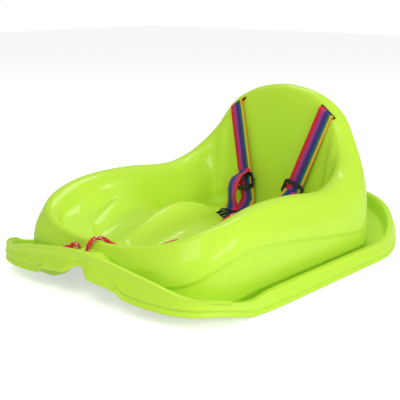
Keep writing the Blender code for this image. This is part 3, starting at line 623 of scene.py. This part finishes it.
def smooth_line(points, step):
    """Catmull-Rom curve through the points at even steps, with the distance travelled."""
    points = np.array(points, float)
    first, last = 2 * points[:1] - points[1:2], 2 * points[-1:] - points[-2:-1]
    ends = np.concatenate([first, points, last])
    t = np.linspace(0, 1, 12, endpoint=False)[:, None]
    rows = [0.5 * (2 * b + (c - a) * t + (2 * a - 5 * b + 4 * c - d) * t**2
                   + (3 * b - a - 3 * c + d) * t**3)
            for a, b, c, d in zip(ends, ends[1:], ends[2:], ends[3:])]
    line = np.concatenate(rows + [points[-1:]])
    travelled = distance_along(line[:, :3])
    even = np.linspace(0, travelled[-1], max(2, round(travelled[-1] / step) + 1))
    return np.stack([np.interp(even, travelled, column) for column in line.T], -1), even


def skin(name, rings, along, across, mirrored=False):
    """Closed tube over the rings, with (share across, distance along) as its UV."""
    across = 1 - across if mirrored else across
    rows, columns = rings.shape[:2]
    faces = grid_faces(rows, columns)
    end = rows * columns
    faces += [tuple(range(columns)), tuple(range(end - 1, end - columns - 1, -1))]
    k, m = np.meshgrid(np.arange(rows - 1), np.arange(columns), indexing="ij")
    u = across[np.stack([m, m, m + 1, m + 1], -1)].reshape(-1)
    v = along[np.stack([k, k + 1, k + 1, k], -1)].reshape(-1)
    u = np.concatenate([u, across[:columns], across[columns - 1::-1]])
    v = np.concatenate([v, np.full(columns, along[0]), np.full(columns, along[-1])])
    piece = object_from(name, rings.reshape(-1, 3), faces)
    layer = piece.data.uv_layers.new(name="run")
    layer.data.foreach_set("uv", np.stack([u, v], -1).astype(np.float32).ravel())
    return piece


def unit(vectors):
    """Each vector divided by its length."""
    return vectors / np.linalg.norm(vectors, axis=-1, keepdims=True)


def webbing_strip(name, points, wides, mirrored=False):
    """A flat section with rounded edges, along the points, with its width along wides."""
    line, along = smooth_line(np.hstack([points, wides]), 0.001)
    spot, wide = line[:, :3], unit(line[:, 3:])
    deep = unit(np.cross(np.gradient(spot, axis=0), wide))
    flat = np.linspace(-0.97, 0.97, 13)
    face = np.stack([flat, np.ones(13)], -1)
    section = np.concatenate([face, [(1, 0.5), (1, -0.5)], -face, [(-1, -0.5), (-1, 0.5)]])
    rings = (spot[:, None] + wide[:, None] * (section[:, :1] * (WEB_WIDE / 2))
             + deep[:, None] * (section[:, 1:] * (WEB_THICK / 2)))
    return skin(name, rings, along, (np.append(section[:, 0], section[0, 0]) + 1) / 2, mirrored)


print("webbing:", WEB_WIDE, "by", WEB_THICK, "m")

# %% [markdown]
# The stripes are dyed yarns: red, pink, violet, navy, teal and yellow, from the far edge to the
# near one. An image would be the short way, but a colour ramp across the strip stays sharp at any
# size. Webbing is a fine twill, so the bump follows both yarn directions, and the same height
# darkens the colour a little in the weave's grooves, which is painted shade. It is matt, with a
# soft sheen at glancing angles.

# %% Rainbow webbing
STRIPES = ((0.0, (0.70, 0.008, 0.020)), (0.225, (0.78, 0.012, 0.050)), (0.25, (0.52, 0.03, 0.24)),
           (0.40, (0.34, 0.05, 0.38)), (0.43, (0.10, 0.025, 0.27)), (0.64, (0.025, 0.022, 0.18)),
           (0.67, (0.0, 0.10, 0.19)), (0.79, (0.0, 0.19, 0.20)), (0.81, (0.02, 0.08, 0.03)),
           (0.85, (0.80, 0.62, 0.02)), (0.95, (0.86, 0.52, 0.02)), (1.0, (0.72, 0.22, 0.02)))
TURN = 6.2832  # one wave of a sine
WEFT_YARNS, WARP_YARNS = 1100.0, 34.0  # to the metre, and across the strip


def striped_webbing():
    """A ramp across the strip, two sines for the twill's slanted ridges and its yarns, and painted
    shade from their height.
    """
    material, tree, shader = new_material("rainbow_twill", (0.25, 0.05, 0.35), 0.82)
    run = node(tree, "ShaderNodeUVMap", {"uv_map": "run"}).outputs[0]
    part = node(tree, "ShaderNodeSeparateXYZ", Vector=run)
    ramp = node(tree, "ShaderNodeValToRGB", Fac=part.outputs["X"])
    stops = ramp.color_ramp.elements
    while len(stops) < len(STRIPES):
        stops.new(0.5)
    for stop, (place, colour) in zip(stops, STRIPES):
        stop.position, stop.color = place, (*colour, 1)
    weft = maths(tree, "MULTIPLY", part.outputs["Y"], WEFT_YARNS)
    warp = maths(tree, "MULTIPLY", part.outputs["X"], WARP_YARNS)
    ridge = maths(tree, "SINE", maths(tree, "MULTIPLY", maths(tree, "ADD", weft, warp), TURN))
    yarn = maths(tree, "SINE", maths(tree, "MULTIPLY", warp, TURN))
    height = maths(tree, "ADD", maths(tree, "MULTIPLY", ridge, 0.6), yarn)
    rough_up(tree, shader, 0.5, 0.00012, height)
    # Painted shade: the colour darkens a little where the bump's height is low, in the weave's
    # grooves.
    painted_weave_shade = maths(tree, "ADD", maths(tree, "MULTIPLY", height, 0.10), 0.85)
    dye_with_painted_shade = node(tree, "ShaderNodeHueSaturation", Color=ramp.outputs[0], Value=painted_weave_shade)
    tree.links.new(dye_with_painted_shade.outputs[0], shader.inputs["Base Color"])
    shader.inputs["Sheen Weight"].default_value = 0.08
    shader.inputs["Sheen Roughness"].default_value = 0.4
    return material


twill = striped_webbing()
print("webbing has", len(STRIPES), "colour stops")

# %% [markdown]
# Each shoulder strap comes out of its slot edge-on, turns down over the slot's lip and lies on the
# backrest, leaning inwards. Its places come from the measured joints, so they can't drift from the
# model: the swing's hinge is the strap's top, the loop's hinge is its end.

# %% Shoulder straps
JOINTS = {joint["name"]: joint for joint in frame["record"]["behaviour"]["joints"]}
TURN_DOWN = 0.022  # the strip is edge-on in its slot, and lies flat this far down
TWIST = 0.0066  # and turns level with the seat over this length at its end
LEVEL = np.array([1.0, 0, 0])
MOUTH = (0, 0.0019, 0.0006)  # from the hinge to where the strip leaves the slot


class Strap:
    """The straight run from the slot to the loop, with its width and front directions."""

    def __init__(self, side):
        self.side, self.sign = side, 1 if side == "left" else -1
        swing, lift = JOINTS[side + "_strap_swing"], JOINTS[side + "_loop_lift"]
        self.top, self.end = np.array(swing["pos_m"]), np.array(lift["pos_m"])
        self.across = -np.array(swing["axis"])
        self.length = float(np.linalg.norm(self.end - self.top))
        self.down = (self.end - self.top) / self.length
        self.wide = unit(np.cross(self.down, (0, 1, 0)))
        self.front = np.cross(self.down, self.wide)

    def at(self, distance):
        """The point so far down the run."""
        return self.top + self.down * distance

    def wide_at(self, distance):
        """The width's direction: along the slot, then the run's own, then level."""
        start = ease(distance, 0, TURN_DOWN)
        level = ease(distance, self.length - TWIST, self.length)
        wide = self.across * (1 - start) + self.wide * start
        return unit(wide * (1 - level) + LEVEL * level)


def make_strap(strap):
    """A webbing strip out of the slot, over its lip and down the run."""
    run = [0.0045, 0.008, 0.013, 0.018, TURN_DOWN, 0.05, 0.09, 0.13, strap.length - TWIST,
           strap.length - TWIST / 2, strap.length]
    points = [strap.top + MOUTH, strap.top + (0, 0.0006, 0.0005),
              strap.at(0.0020) + (0, -0.0002, 0)] + [strap.at(d) for d in run]
    wides = [strap.across] * 3 + [strap.wide_at(d) for d in run]
    piece = webbing_strip(strap.side + "_shoulder_strap", points, wides)
    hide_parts("strap_" + strap.side)
    finish_piece(piece, twill)
    strap.at(0.014)
    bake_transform(piece)


straps = {side: Strap(side) for side in ("left", "right")}
for strap in straps.values():
    make_strap(strap)
    print(strap.side, "strap", round(strap.length, 4), "m")

# %% [markdown]
# Behind the backrest panel the same webbing runs from one slot to the other. It turns from lying
# edge-up in the slot to hanging flat against the back of the panel. One half is written down and
# the other is its mirror image.

# %% Webbing inside the backrest
# Place, then the width's direction along x and z.
HIDDEN = ((0.0950, 0.14190, 0.22641, 0.8413, -0.5405), (0.0950, 0.15003, 0.22641, 0.8413, -0.5405),
          (0.0940, 0.15353, 0.22641, 0.8413, -0.5405), (0.0817, 0.15214, 0.22221, 0.6748, -0.7380),
          (0.0627, 0.15205, 0.21741, 0.4139, -0.9103), (0.03325, 0.15151, 0.21441, 0.2425, -0.9701))


def make_hidden_web():
    """The half run, then the same with x turned round, as one strip."""
    half = np.array(HIDDEN)
    both = np.concatenate([half, half[::-1] * (-1, 1, 1, -1, 1)])
    wides = np.stack([both[:, 3], 0 * both[:, 3], both[:, 4]], -1)
    piece = webbing_strip("webbing_behind_panel", both[:, :3], wides)
    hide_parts("harness_web")
    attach(finish_piece(piece, twill), "sled")
    print("hidden run", round(float(distance_along(both[:, :3])[-1]), 3), "m")


make_hidden_web()

# %% [markdown]
# Below its adjuster each strap lies down on the seat, goes round the buckle's bar and comes back up
# to the adjuster. On the right the slack stands up as a round arch, turned a little in plan as
# folded webbing does. On the left it is pulled tight.

# %% Loops through the buckle
SEAT = PAN + WEB_THICK / 2 + 0.0004  # middle of a strip that lies on the pan
REACH = 0.048  # from the loop's hinge to the buckle's bar
# Return legs, from the bar up to the adjuster: forward of the strap's end, and above it.
ARCH = ((0.0465, -0.0070), (0.0454, 0.0015), (0.0430, 0.0110), (0.0382, 0.0215), (0.0302, 0.0315),
        (0.0210, 0.0382), (0.0120, 0.0412), (0.0040, 0.0425), (-0.0020, 0.0443), (-0.0056, 0.0482))
TUCK = ((0.0440, -0.0040), (0.0330, 0.0020), (0.0220, 0.0085), (0.0130, 0.0140), (0.0065, 0.0188),
        (0.0015, 0.0222), (-0.0020, 0.0258))
LEAN_IN = 0.326  # sideways for each metre up, as the strap leans


def make_leg(strap, name, path, turned, returning):
    """One leg as a strip through (forward, up) points; the return leg leans and twists too."""
    forward, up = np.array(path).T
    shift = strap.sign * LEAN_IN * np.maximum(up, 0) * returning
    points = strap.end + np.stack([shift, -forward, up], -1)
    twist = np.radians(turned) * np.sin(np.pi * ease(up, -0.012, 0.048)) * returning
    plan = np.stack([np.cos(twist), -np.sin(twist), 0 * twist], -1)
    climb = (ease(up, 0.0, 0.040) * returning)[:, None]
    piece = webbing_strip(f"{strap.side}_loop_{name}", points,
                          plan * (1 - climb) + strap.wide * climb, returning)
    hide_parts("loop_" + strap.side)
    finish_piece(piece, twill)
    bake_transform(piece)


def make_loop(strap, bar_radius, tail, turned):
    """Down to the seat, a half circle round the bar, and back up along the tail."""
    seat = SEAT - strap.end[2]
    turn = np.radians(np.arange(-90, 1, 15))
    lower = [(0, 0), (0.0016, -0.0034), (0.0055, seat * 0.45), (0.012, seat * 0.84), (0.02, seat),
             (0.036, seat)]
    lower += [(REACH + bar_radius * math.cos(a), seat + bar_radius * (1 + math.sin(a)))
              for a in turn]
    upper = [(REACH + bar_radius * math.cos(a), seat + bar_radius * (1 - math.sin(a)))
             for a in turn[:-3 if turned else None][::-1]]
    make_leg(strap, "lower", lower, turned, False)
    make_leg(strap, "upper", upper + list(tail), turned, True)
    print(strap.side, "loop reaches", REACH, "m and its return leg is turned", turned, "degrees")


make_loop(straps["left"], 0.00565, TUCK, 0)
make_loop(straps["right"], 0.00415, ARCH, 28)

# %% [markdown]
# The black parts are acetal: smooth and fairly glossy, with fine scratches that only show in the
# highlight. One fine noise serves twice, in the roughness and in a very shallow bump, so that the
# scratches and their glints fall in the same places.

# %% Black acetal
def black_acetal():
    """Fine noise in the roughness and the bump of a near-black shader."""
    material, tree, shader = new_material("black_acetal", (0.010, 0.010, 0.012))
    place = node(tree, "ShaderNodeTexCoord").outputs["Object"]
    grain = noise(tree, place, 900.0, 4.0)
    rough = maths(tree, "ADD", maths(tree, "MULTIPLY", grain, 0.22), 0.16)
    tree.links.new(rough, shader.inputs["Roughness"])
    rough_up(tree, shader, 0.15, 0.0001, grain)
    return material


acetal = black_acetal()
print("black parts finished in", acetal.name)

# %% [markdown]
# The adjuster is a rounded frame in front of the webbing, with ribs for a thumb on its lower bar
# and one flat bar behind, which pinches the webbing by friction. The frame is a rounded-square
# section carried round a rounded rectangle, which gives it the soft edges of a moulding without a
# Bevel modifier. Its small parts are rounded boxes.

# %% Ladder adjusters
ADJUSTER_UP = 0.030  # from the strap's end
FRAME_WIDE, FRAME_HIGH, FRAME_CORNER = 0.0354, 0.0216, 0.0040  # along the bars' middle
BAR_HALF, BAR_HALF_DEEP = 0.0028, 0.0018
BAR_EXTRA = 0.0006  # the cross bars are wider than the side bars, and the lower one is thicker
WEB_CLEAR = 0.00105  # from the strip's middle to the frame's back
BLOCK_ROWS, BLOCK_COLUMNS, BLOCK_POWER = 9, 24, 0.35


def frame_path(width, height, radius, count=7):
    """Middle line of a rounded rectangle, counter-clockwise, with its outward directions."""
    x, y = width / 2 - radius, height / 2 - radius
    turn = np.linspace(0, np.pi / 2, count)
    spots, outs = [], []
    for quarter, (cx, cy) in enumerate(((x, y), (-x, y), (-x, -y), (x, -y))):
        a = turn + quarter * np.pi / 2
        out = np.stack([np.cos(a), np.sin(a)], -1)
        outs.append(out)
        spots.append((cx, cy) + out * radius)
    return np.concatenate(spots), np.concatenate(outs)


def around_faces(rows, columns):
    """Quads of a grid that closes on itself both ways."""
    k, m = np.meshgrid(np.arange(rows), np.arange(columns), indexing="ij")
    n, j = (m + 1) % columns, (k + 1) % rows
    quads = np.stack([k * columns + m, j * columns + m, j * columns + n, k * columns + n], -1)
    return quads.reshape(-1, 4).tolist()


def squared(wave, power):
    """A sine or cosine raised to a power with its sign kept: squarer as the power falls."""
    return np.sign(wave) * np.abs(wave) ** power


def oval_section(count=16, power=0.6):
    """Rounded-square outline of half sizes 1 by 1."""
    a = np.linspace(0, 2 * np.pi, count, endpoint=False)
    return squared(np.cos(a), power), squared(np.sin(a), power)


def place_points(points, origin, x_axis, y_axis, z_axis):
    """The origin plus each coordinate times its axis."""
    return (origin + points[..., :1] * np.array(x_axis) + points[..., 1:2] * np.array(y_axis)
            + points[..., 2:] * np.array(z_axis))


def rounded_block(name, half_sizes, centre, axes, body):
    """A superellipsoid: a rounded box in the given axes, riding on a body."""
    v = np.linspace(-np.pi / 2, np.pi / 2, BLOCK_ROWS)[:, None]
    x, y = oval_section(BLOCK_COLUMNS, BLOCK_POWER)
    round_in = np.cos(v) ** BLOCK_POWER
    rise = squared(np.sin(v), BLOCK_POWER)
    local = np.stack([x * round_in, y * round_in, rise + 0 * x], -1) * half_sizes + centre
    points = place_points(local, *axes)
    faces = grid_faces(BLOCK_ROWS, BLOCK_COLUMNS, flip=True)
    piece = object_from(name, points.reshape(-1, 3), faces)
    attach(finish_piece(piece, acetal), body)


def make_adjuster(strap):
    """The frame in the strap's own axes, then its rear bar, posts and ribs."""
    axes = (strap.at(strap.length - ADJUSTER_UP), strap.wide, -strap.down, strap.front)
    spots, outs = frame_path(FRAME_WIDE, FRAME_HIGH, FRAME_CORNER)
    cross = np.abs(outs[:, 1:])
    wide = BAR_HALF + BAR_EXTRA * cross
    lift = WEB_CLEAR + BAR_HALF_DEEP + BAR_EXTRA * np.where(outs[:, 1:] < 0, cross, 0)
    c, s = oval_section()
    flat = spots[:, None] + outs[:, None] * (c[:, None] * wide[:, None])
    deep = lift[:, None] + s[:, None] * BAR_HALF_DEEP + 0 * flat[..., :1]
    rings = np.concatenate([flat, deep], -1)
    body = strap.side + "_adjuster"
    piece = object_from(body + "_frame", place_points(rings, *axes).reshape(-1, 3),
                        around_faces(*rings.shape[:2]))
    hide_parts("adjuster_" + strap.side)
    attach(finish_piece(piece, acetal), body)
    rounded_block(body + "_rear_bar", (0.0188, 0.0031, 0.0013), (0, 0, -0.00235), axes, body)
    for sign in (-1, 1):
        rounded_block(f"{body}_post_{sign}", (0.00085, 0.0028, 0.0030), (sign * 0.0178, 0, 0),
                      axes, body)
    for k in range(3):
        rounded_block(f"{body}_rib_{k}", (0.0125, 0.00035, 0.0004),
                      (0, -0.0098 - 0.0012 * k, 0.0050), axes, body)
    print(body, "has", len(piece.data.polygons), "faces in its frame")


for strap in straps.values():
    make_adjuster(strap)

# %% [markdown]
# The two halves of the side-release buckle are flat mouldings, and the measured solids already have
# their outlines, bars, prongs and cavity. They keep those solids and gain what is pressed into the
# real ones: a raised panel on the socket, grip ribs, and a bead along the plug's shoulder.

# %% Side-release buckle
SOCKET_LONG, SOCKET_THICK = 0.034, 0.008
PLUG_LONG, PLUG_THICK = 0.038, 0.005
BUCKLE_REST = PAN + 0.0006  # height of the underside at the far end


def buckle_axes(body, length, thick):
    """The bar, then axes across, forward down the slope to the seat, and square to both."""
    bar = np.array(JOINTS[body + "_tilt"]["pos_m"])
    dip = math.asin((bar[2] - thick / 2 - BUCKLE_REST) / length)
    forward = np.array((0, -math.cos(dip), -math.sin(dip)))
    return bar, (-1, 0, 0), forward, np.cross((-1, 0, 0), forward)


def dress_buckle():
    """Acetal on the two solids, and rounded blocks just proud of their upper faces."""
    for name in ("buckle_socket", "buckle_plug"):
        mesh = bpy.data.objects[name].data
        mesh.materials.clear()
        mesh.materials.append(acetal)
        mesh.polygons.foreach_set("use_smooth", np.zeros(len(mesh.polygons), bool))
    socket = buckle_axes("socket", SOCKET_LONG, SOCKET_THICK)
    rounded_block("socket_panel", (0.0120, 0.0065, 0.0006), (0, 0.0195, 0.0041), socket, "socket")
    for k in range(4):
        rounded_block(f"socket_rib_{k}", (0.0110 - 0.0008 * k, 0.0004, 0.0005),
                      (0, 0.0275 + 0.0014 * k, 0.0041), socket, "socket")
    plug = buckle_axes("plug", PLUG_LONG, PLUG_THICK)
    rounded_block("plug_bead", (0.0150, 0.0008, 0.0006), (0, 0.0125, 0.0026), plug, "plug")
    for sign in (-1, 1):
        rounded_block(f"plug_rib_{sign}", (0.0009, 0.0070, 0.0005), (sign * 0.0110, 0.0240, 0.0026),
                      plug, "plug")
    print("buckle halves:", SOCKET_LONG, "and", PLUG_LONG, "m long")


dress_buckle()

# %% [markdown]
# The tow rope is one length. From its stopper knot it lies in the gutter, climbs the lip, dips
# through the two holes in the bridge, drops over the rim and lies beside the near wall. The spare
# metre is coiled on the seat in two rows and three layers, nested like stacked pipes: each layer
# sits in the groove of the one below, so every pass stays a rope's thickness from its neighbours.

# %% The rope's line
ROPE = 0.006
STOPPER, END_KNOT = np.array((-0.130, -0.301, 0.02978)), np.array((0.08507, -0.01408, 0.05347))
# In millimetres, from the stopper knot to the first hole.
ROUTE = ((-122.72, -301.84, 27.96), (-117.0, -302.5, 26.52), (-108.0, -303.5, 26.57),
         (-99.0, -304.5, 26.58), (-90.0, -305.3, 26.67), (-82.0, -306.3, 26.95),
         (-74.0, -307.5, 27.53), (-67.0, -309.3, 35.15), (-60.0, -311.5, 52.18),
         (-53.0, -313.1, 63.93), (-46.0, -313.7, 67.94), (-39.5, -313.5, 71.16),
         (-34.0, -312.3, 71.20), (-29.0, -310.1, 76.50), (-24.0, -308.5, 76.80),
         (-21.5, -307.5, 74.00))
# In millimetres, from the second hole to the coil.
OVER_RIM = ((-2.3, -306.5, 75.5), (-1.8, -304.3, 80.5), (0.0, -298.5, 86.2), (3.5, -292.0, 87.6),
            (9.0, -285.0, 85.0), (16.0, -278.0, 78.0), (24.5, -270.5, 73.0), (34.0, -263.5, 71.42),
            (45.5, -256.5, 70.0), (60.0, -248.0, 71.64), (74.5, -238.0, 77.95),
            (87.0, -226.0, 83.23), (97.5, -212.0, 85.58), (105.5, -196.0, 88.79),
            (111.5, -179.0, 93.64), (115.5, -161.0, 99.66), (117.2, -143.0, 105.99),
            (117.2, -125.0, 107.85), (115.0, -108.0, 103.25), (110.5, -93.5, 92.18),
            (103.5, -82.5, 80.0), (95.0, -75.5, 72.71), (86.0, -72.0, 69.37), (77.0, -70.5, 68.25),
            (68.0, -70.5, 68.43))
# Degrees round, radius and height above the coil's middle, the last two in millimetres.
COIL = ((0, 44.8, -3.7), (40, 33, -5.2), (360, 33, -5.2), (400, 27, -5.2), (720, 27, -5.2),
        (740, 24.3, -2.6), (760, 24, 0), (1040, 24, 0), (1060, 27, 0.9), (1080, 30, 0.5),
        (1100, 30, 0.9), (1120, 30, 0), (1360, 30, 0), (1380, 32.7, 2.6), (1400, 33, 5.2),
        (1440, 33, 5.7), (1460, 33, 6.1), (1480, 33, 5.2), (1640, 33, 5.2), (1660, 30, 6.1),
        (1680, 27, 5.2), (1760, 27, 5.2), (1780, 27, 6.9), (1800, 27, 6.0), (1820, 27, 6.1),
        (1840, 27, 5.2), (1880, 27, 5.2), (1905, 23.0, 6.1), (1930, 19.0, 5.2), (1978, 17.2, 2.2))
COIL_MIDDLE, COIL_TILT, COIL_START = np.array((0.077, -0.027, 0.0618)), -0.23596, 258.4
UNDER_BRIDGE = 0.069  # height where the rope enters and leaves the bridge's underside


def coil_points():
    """The table's keys joined by cubics every 6 degrees, wound in the plane of the seat's slope."""
    keys = np.array(COIL, float)
    steps = np.maximum(2, np.round(np.diff(keys[:, 0]) / 6)).astype(int)
    degrees, radius, height = flow(keys[:, None], list(steps))[1:, 0].T
    turn = np.radians(COIL_START - degrees)
    local = np.stack([radius * np.cos(turn), radius * np.sin(turn), height], -1) / 1000
    c, s = math.cos(COIL_TILT), math.sin(COIL_TILT)
    return place_points(local, COIL_MIDDLE, (1, 0, 0), (0, c, s), (0, -s, c))


def rope_line():
    """Route, a half circle under the bridge, the run over the rim, the coil, and the knot."""
    turn, bend = np.radians(np.arange(0, 181, 15)), HOLE_APART / 2
    under = np.stack([HOLE_X - bend * np.cos(turn), HOLE_Y + 0 * turn,
                      UNDER_BRIDGE - bend * np.sin(turn)], -1)
    points = np.concatenate([np.array(ROUTE) / 1000, under, np.array(OVER_RIM) / 1000,
                             coil_points()])
    last = END_KNOT + (points[-1] - END_KNOT) * 0.0062 / np.linalg.norm(points[-1] - END_KNOT)
    return smooth_line(np.concatenate([points, [last]]), 0.0015)


def tube_rings(spots, radius, count=24):
    """Circles square to the line, turned as little as possible from one to the next.

    Each circle's side is the one before it, made square to the new direction, so they are worked
    out in turn.
    """
    ahead = unit(np.gradient(spots, axis=0))
    side = unit(np.cross(ahead[0], (0, 0, 1)))
    a = np.linspace(0, 2 * np.pi, count, endpoint=False)
    rings = []
    for spot, way in zip(spots, ahead):
        side = unit(side - way * side.dot(way))
        up = np.cross(way, side)
        rings.append(spot + radius * (np.cos(a)[:, None] * side - np.sin(a)[:, None] * up))
    return np.array(rings)


line, travelled = rope_line()
print("tow rope", round(travelled[-1], 3), "m")

# %% [markdown]
# A braid is eight strands wound one way and eight the other, each passing over and under in turn.
# Both sets are straight lines once the rope is unrolled, so two sums of the UV give a strand's
# number and its rounded height, and no strand has to be modelled. The colour darkens to a dark red
# towards each strand's sides, which is painted shade in the grooves between strands.

# %% Braided rope
STRANDS, SLANT = 8.0, 260.0  # strands each way round, and strands passed in a metre
WHITE_LEFT, WHITE_RIGHT, BLACK_RIGHT = 1.0, 5.0, 2.0  # which strands are not red


def braided_rope():
    """Red, with one white strand each way and one black; a sine across each strand rounds it and
    paints shade, dark red, towards its sides.
    """
    material, tree, shader = new_material("red_braid", (0.80, 0.03, 0.02), 0.75)
    run = node(tree, "ShaderNodeUVMap", {"uv_map": "run"}).outputs[0]
    part = node(tree, "ShaderNodeSeparateXYZ", Vector=run)
    round_it = maths(tree, "MULTIPLY", part.outputs["X"], STRANDS)
    travel = maths(tree, "MULTIPLY", part.outputs["Y"], SLANT)
    strands = [maths(tree, "ADD", round_it, travel), maths(tree, "SUBTRACT", round_it, travel)]
    floors = [maths(tree, "FLOOR", strand, 0.0) for strand in strands]
    over = maths(tree, "PINGPONG", maths(tree, "ADD", *floors), 1.0)
    under = maths(tree, "SUBTRACT", 1.0, over)
    names = [maths(tree, "FLOORED_MODULO", floor, STRANDS) for floor in floors]
    humps = [maths(tree, "SINE", maths(tree, "MULTIPLY", maths(tree, "FRACT", strand, 0.0),
                                       TURN / 2)) for strand in strands]
    height = node(tree, "ShaderNodeMix", {"data_type": "FLOAT"})
    for socket, value in zip(height.inputs[:1] + height.inputs[2:4], [over] + humps):
        feed(tree, socket, value)
    white_left = maths(tree, "MULTIPLY", under, maths(tree, "COMPARE", names[0], WHITE_LEFT))
    white_right = maths(tree, "MULTIPLY", over, maths(tree, "COMPARE", names[1], WHITE_RIGHT))
    white = maths(tree, "ADD", white_left, white_right, clamp=True)
    black = maths(tree, "MULTIPLY", over, maths(tree, "COMPARE", names[1], BLACK_RIGHT))
    colour = blend_colours(tree, white, (0.80, 0.030, 0.018, 1), (0.90, 0.86, 0.84, 1))
    colour = blend_colours(tree, black, colour, (0.012, 0.012, 0.014, 1))
    # Painted shade: dark red where the strand's height falls, in the grooves between strands.
    crease = blend_colours(tree, height.outputs[0], (0.34, 0.008, 0.006, 1), colour)
    tree.links.new(crease, shader.inputs["Base Color"])
    rough_up(tree, shader, 0.8, 0.0004, height.outputs[0])
    return material


braid = braided_rope()
print("rope finished in", braid.name)

# %% [markdown]
# An overhand knot is a trefoil drawn tight, and the trefoil has a short formula. A lump would do
# for a knot seen from afar, but this one shows its three crossings, and the same tube and braid
# make it.

# %% Rope and knots
KNOT_SCALE, KNOT_SQUAT, KNOT_RADIUS = 0.00146, 0.95, 0.0028


def dress_rope(name, spots, radius, nodes):
    """A tube of the radius along the spots, in braid, standing for the nodes."""
    rings = tube_rings(spots, radius)
    piece = skin(name, rings, distance_along(spots), np.linspace(0, 1, rings.shape[1] + 1))
    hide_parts(*nodes)
    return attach(finish_piece(piece, braid), "sled")


def knot_line(middle):
    """(sin t + 2 sin 2t, cos t - 2 cos 2t, -1.35 sin 3t), a little squat, open at its ends."""
    t = np.linspace(0.25, 2 * np.pi + 0.12, 150)
    knot = np.stack([np.sin(t) + 2 * np.sin(2 * t), np.cos(t) - 2 * np.cos(2 * t),
                     -1.35 * np.sin(3 * t)], -1)
    return middle + knot * KNOT_SCALE * (1, KNOT_SQUAT, KNOT_SQUAT)


stopper = dress_rope("stopper_overhand_knot", knot_line(STOPPER), KNOT_RADIUS, ["stopper_knot"])
end_knot = dress_rope("end_overhand_knot", knot_line(END_KNOT), KNOT_RADIUS, ["end_knot"])
tow_rope = dress_rope("braided_tow_rope", line, ROPE / 2, ["tow_rope", "tow_rope_coil"])
print("rope and knots:", sum(len(p.data.polygons) for p in (tow_rope, stopper, end_knot)), "faces")

# %% [markdown]
# The floor and the backdrop are one white sheet, as in a studio. Its colour is set for the camera
# by Light Path, so it reads as white without pouring more light on the sled. The lamps are large
# and soft: one in front and above beside the camera, one low on the right along the near wall, and
# one above and behind for the far rim's highlights. The plain world fills the rest.

# %% Floor, backdrop and lamps
FLOOR_HALF, FLOOR_DROP = 6, 0.0005
FLOOR_GLOW, WORLD_FILL = 0.55, 0.40
LAMPS_AIM = Vector((0, 0, 0.08))


def mix_shaders(tree, share, a, b, output):
    """Shader a at share 0 and b at share 1, into the output's surface."""
    mixed = node(tree, "ShaderNodeMixShader", Fac=share)
    tree.links.new(a.outputs[0], mixed.inputs[1])
    tree.links.new(b.outputs[0], mixed.inputs[2])
    tree.links.new(mixed.outputs[0], tree.nodes[output].inputs["Surface"])


def lay_floor():
    """One large square just under the soles, brighter only where the camera or a gloss sees it."""
    corners = [(x * FLOOR_HALF, y * FLOOR_HALF, -FLOOR_DROP)
               for x, y in ((-1, -1), (1, -1), (1, 1), (-1, 1))]
    mesh = bpy.data.meshes.new("floor")
    mesh.from_pydata(corners, [], [(0, 1, 2, 3)])
    floor = bpy.data.objects.new("floor", mesh)
    bpy.context.scene.collection.objects.link(floor)
    material, tree, shader = new_material("studio_white", (0.93, 0.93, 0.93), 0.9)
    path = node(tree, "ShaderNodeLightPath")
    seen = maths(tree, "MAXIMUM", path.outputs["Is Camera Ray"], path.outputs["Is Glossy Ray"])
    glow = node(tree, "ShaderNodeEmission", Color=(1, 1, 1, 1), Strength=FLOOR_GLOW)
    both = node(tree, "ShaderNodeAddShader")
    tree.links.new(shader.outputs[0], both.inputs[0])
    tree.links.new(glow.outputs[0], both.inputs[1])
    mix_shaders(tree, seen, shader, both, "Material Output")
    mesh.materials.append(material)


def light_world():
    """A dim white world for the object, and a full white one for the camera."""
    world = bpy.data.worlds.new("studio")
    bpy.context.scene.world = world
    world.use_nodes = True
    tree = world.node_tree
    plain = tree.nodes["Background"]
    plain.inputs["Color"].default_value = (1, 1, 1, 1)
    plain.inputs["Strength"].default_value = WORLD_FILL
    white = node(tree, "ShaderNodeBackground", Color=(1, 1, 1, 1), Strength=1.0)
    seen = node(tree, "ShaderNodeLightPath").outputs["Is Camera Ray"]
    mix_shaders(tree, seen, plain, white, "World Output")


def soft_lamp(name, place, size, watts):
    """A rectangular lamp that faces the sled."""
    lamp = bpy.data.lights.new(name, "AREA")
    lamp.energy, lamp.shape = watts, "RECTANGLE"
    lamp.size, lamp.size_y = size
    item = bpy.data.objects.new(name, lamp)
    item.location = place
    item.rotation_euler = (LAMPS_AIM - Vector(place)).to_track_quat("-Z", "Y").to_euler()
    bpy.context.scene.collection.objects.link(item)


lay_floor()
light_world()
soft_lamp("key_lamp", (0.9, -1.6, 1.8), (1.3, 1.0), 24)
soft_lamp("side_lamp", (2.2, 0.0, 0.7), (1.4, 0.4), 19)
soft_lamp("top_lamp", (-0.7, 0.7, 1.9), (0.9, 0.5), 12)
bpy.context.scene.view_settings.view_transform = "Standard"
print("lamps:", [(lamp.name, lamp.energy) for lamp in bpy.data.lights])
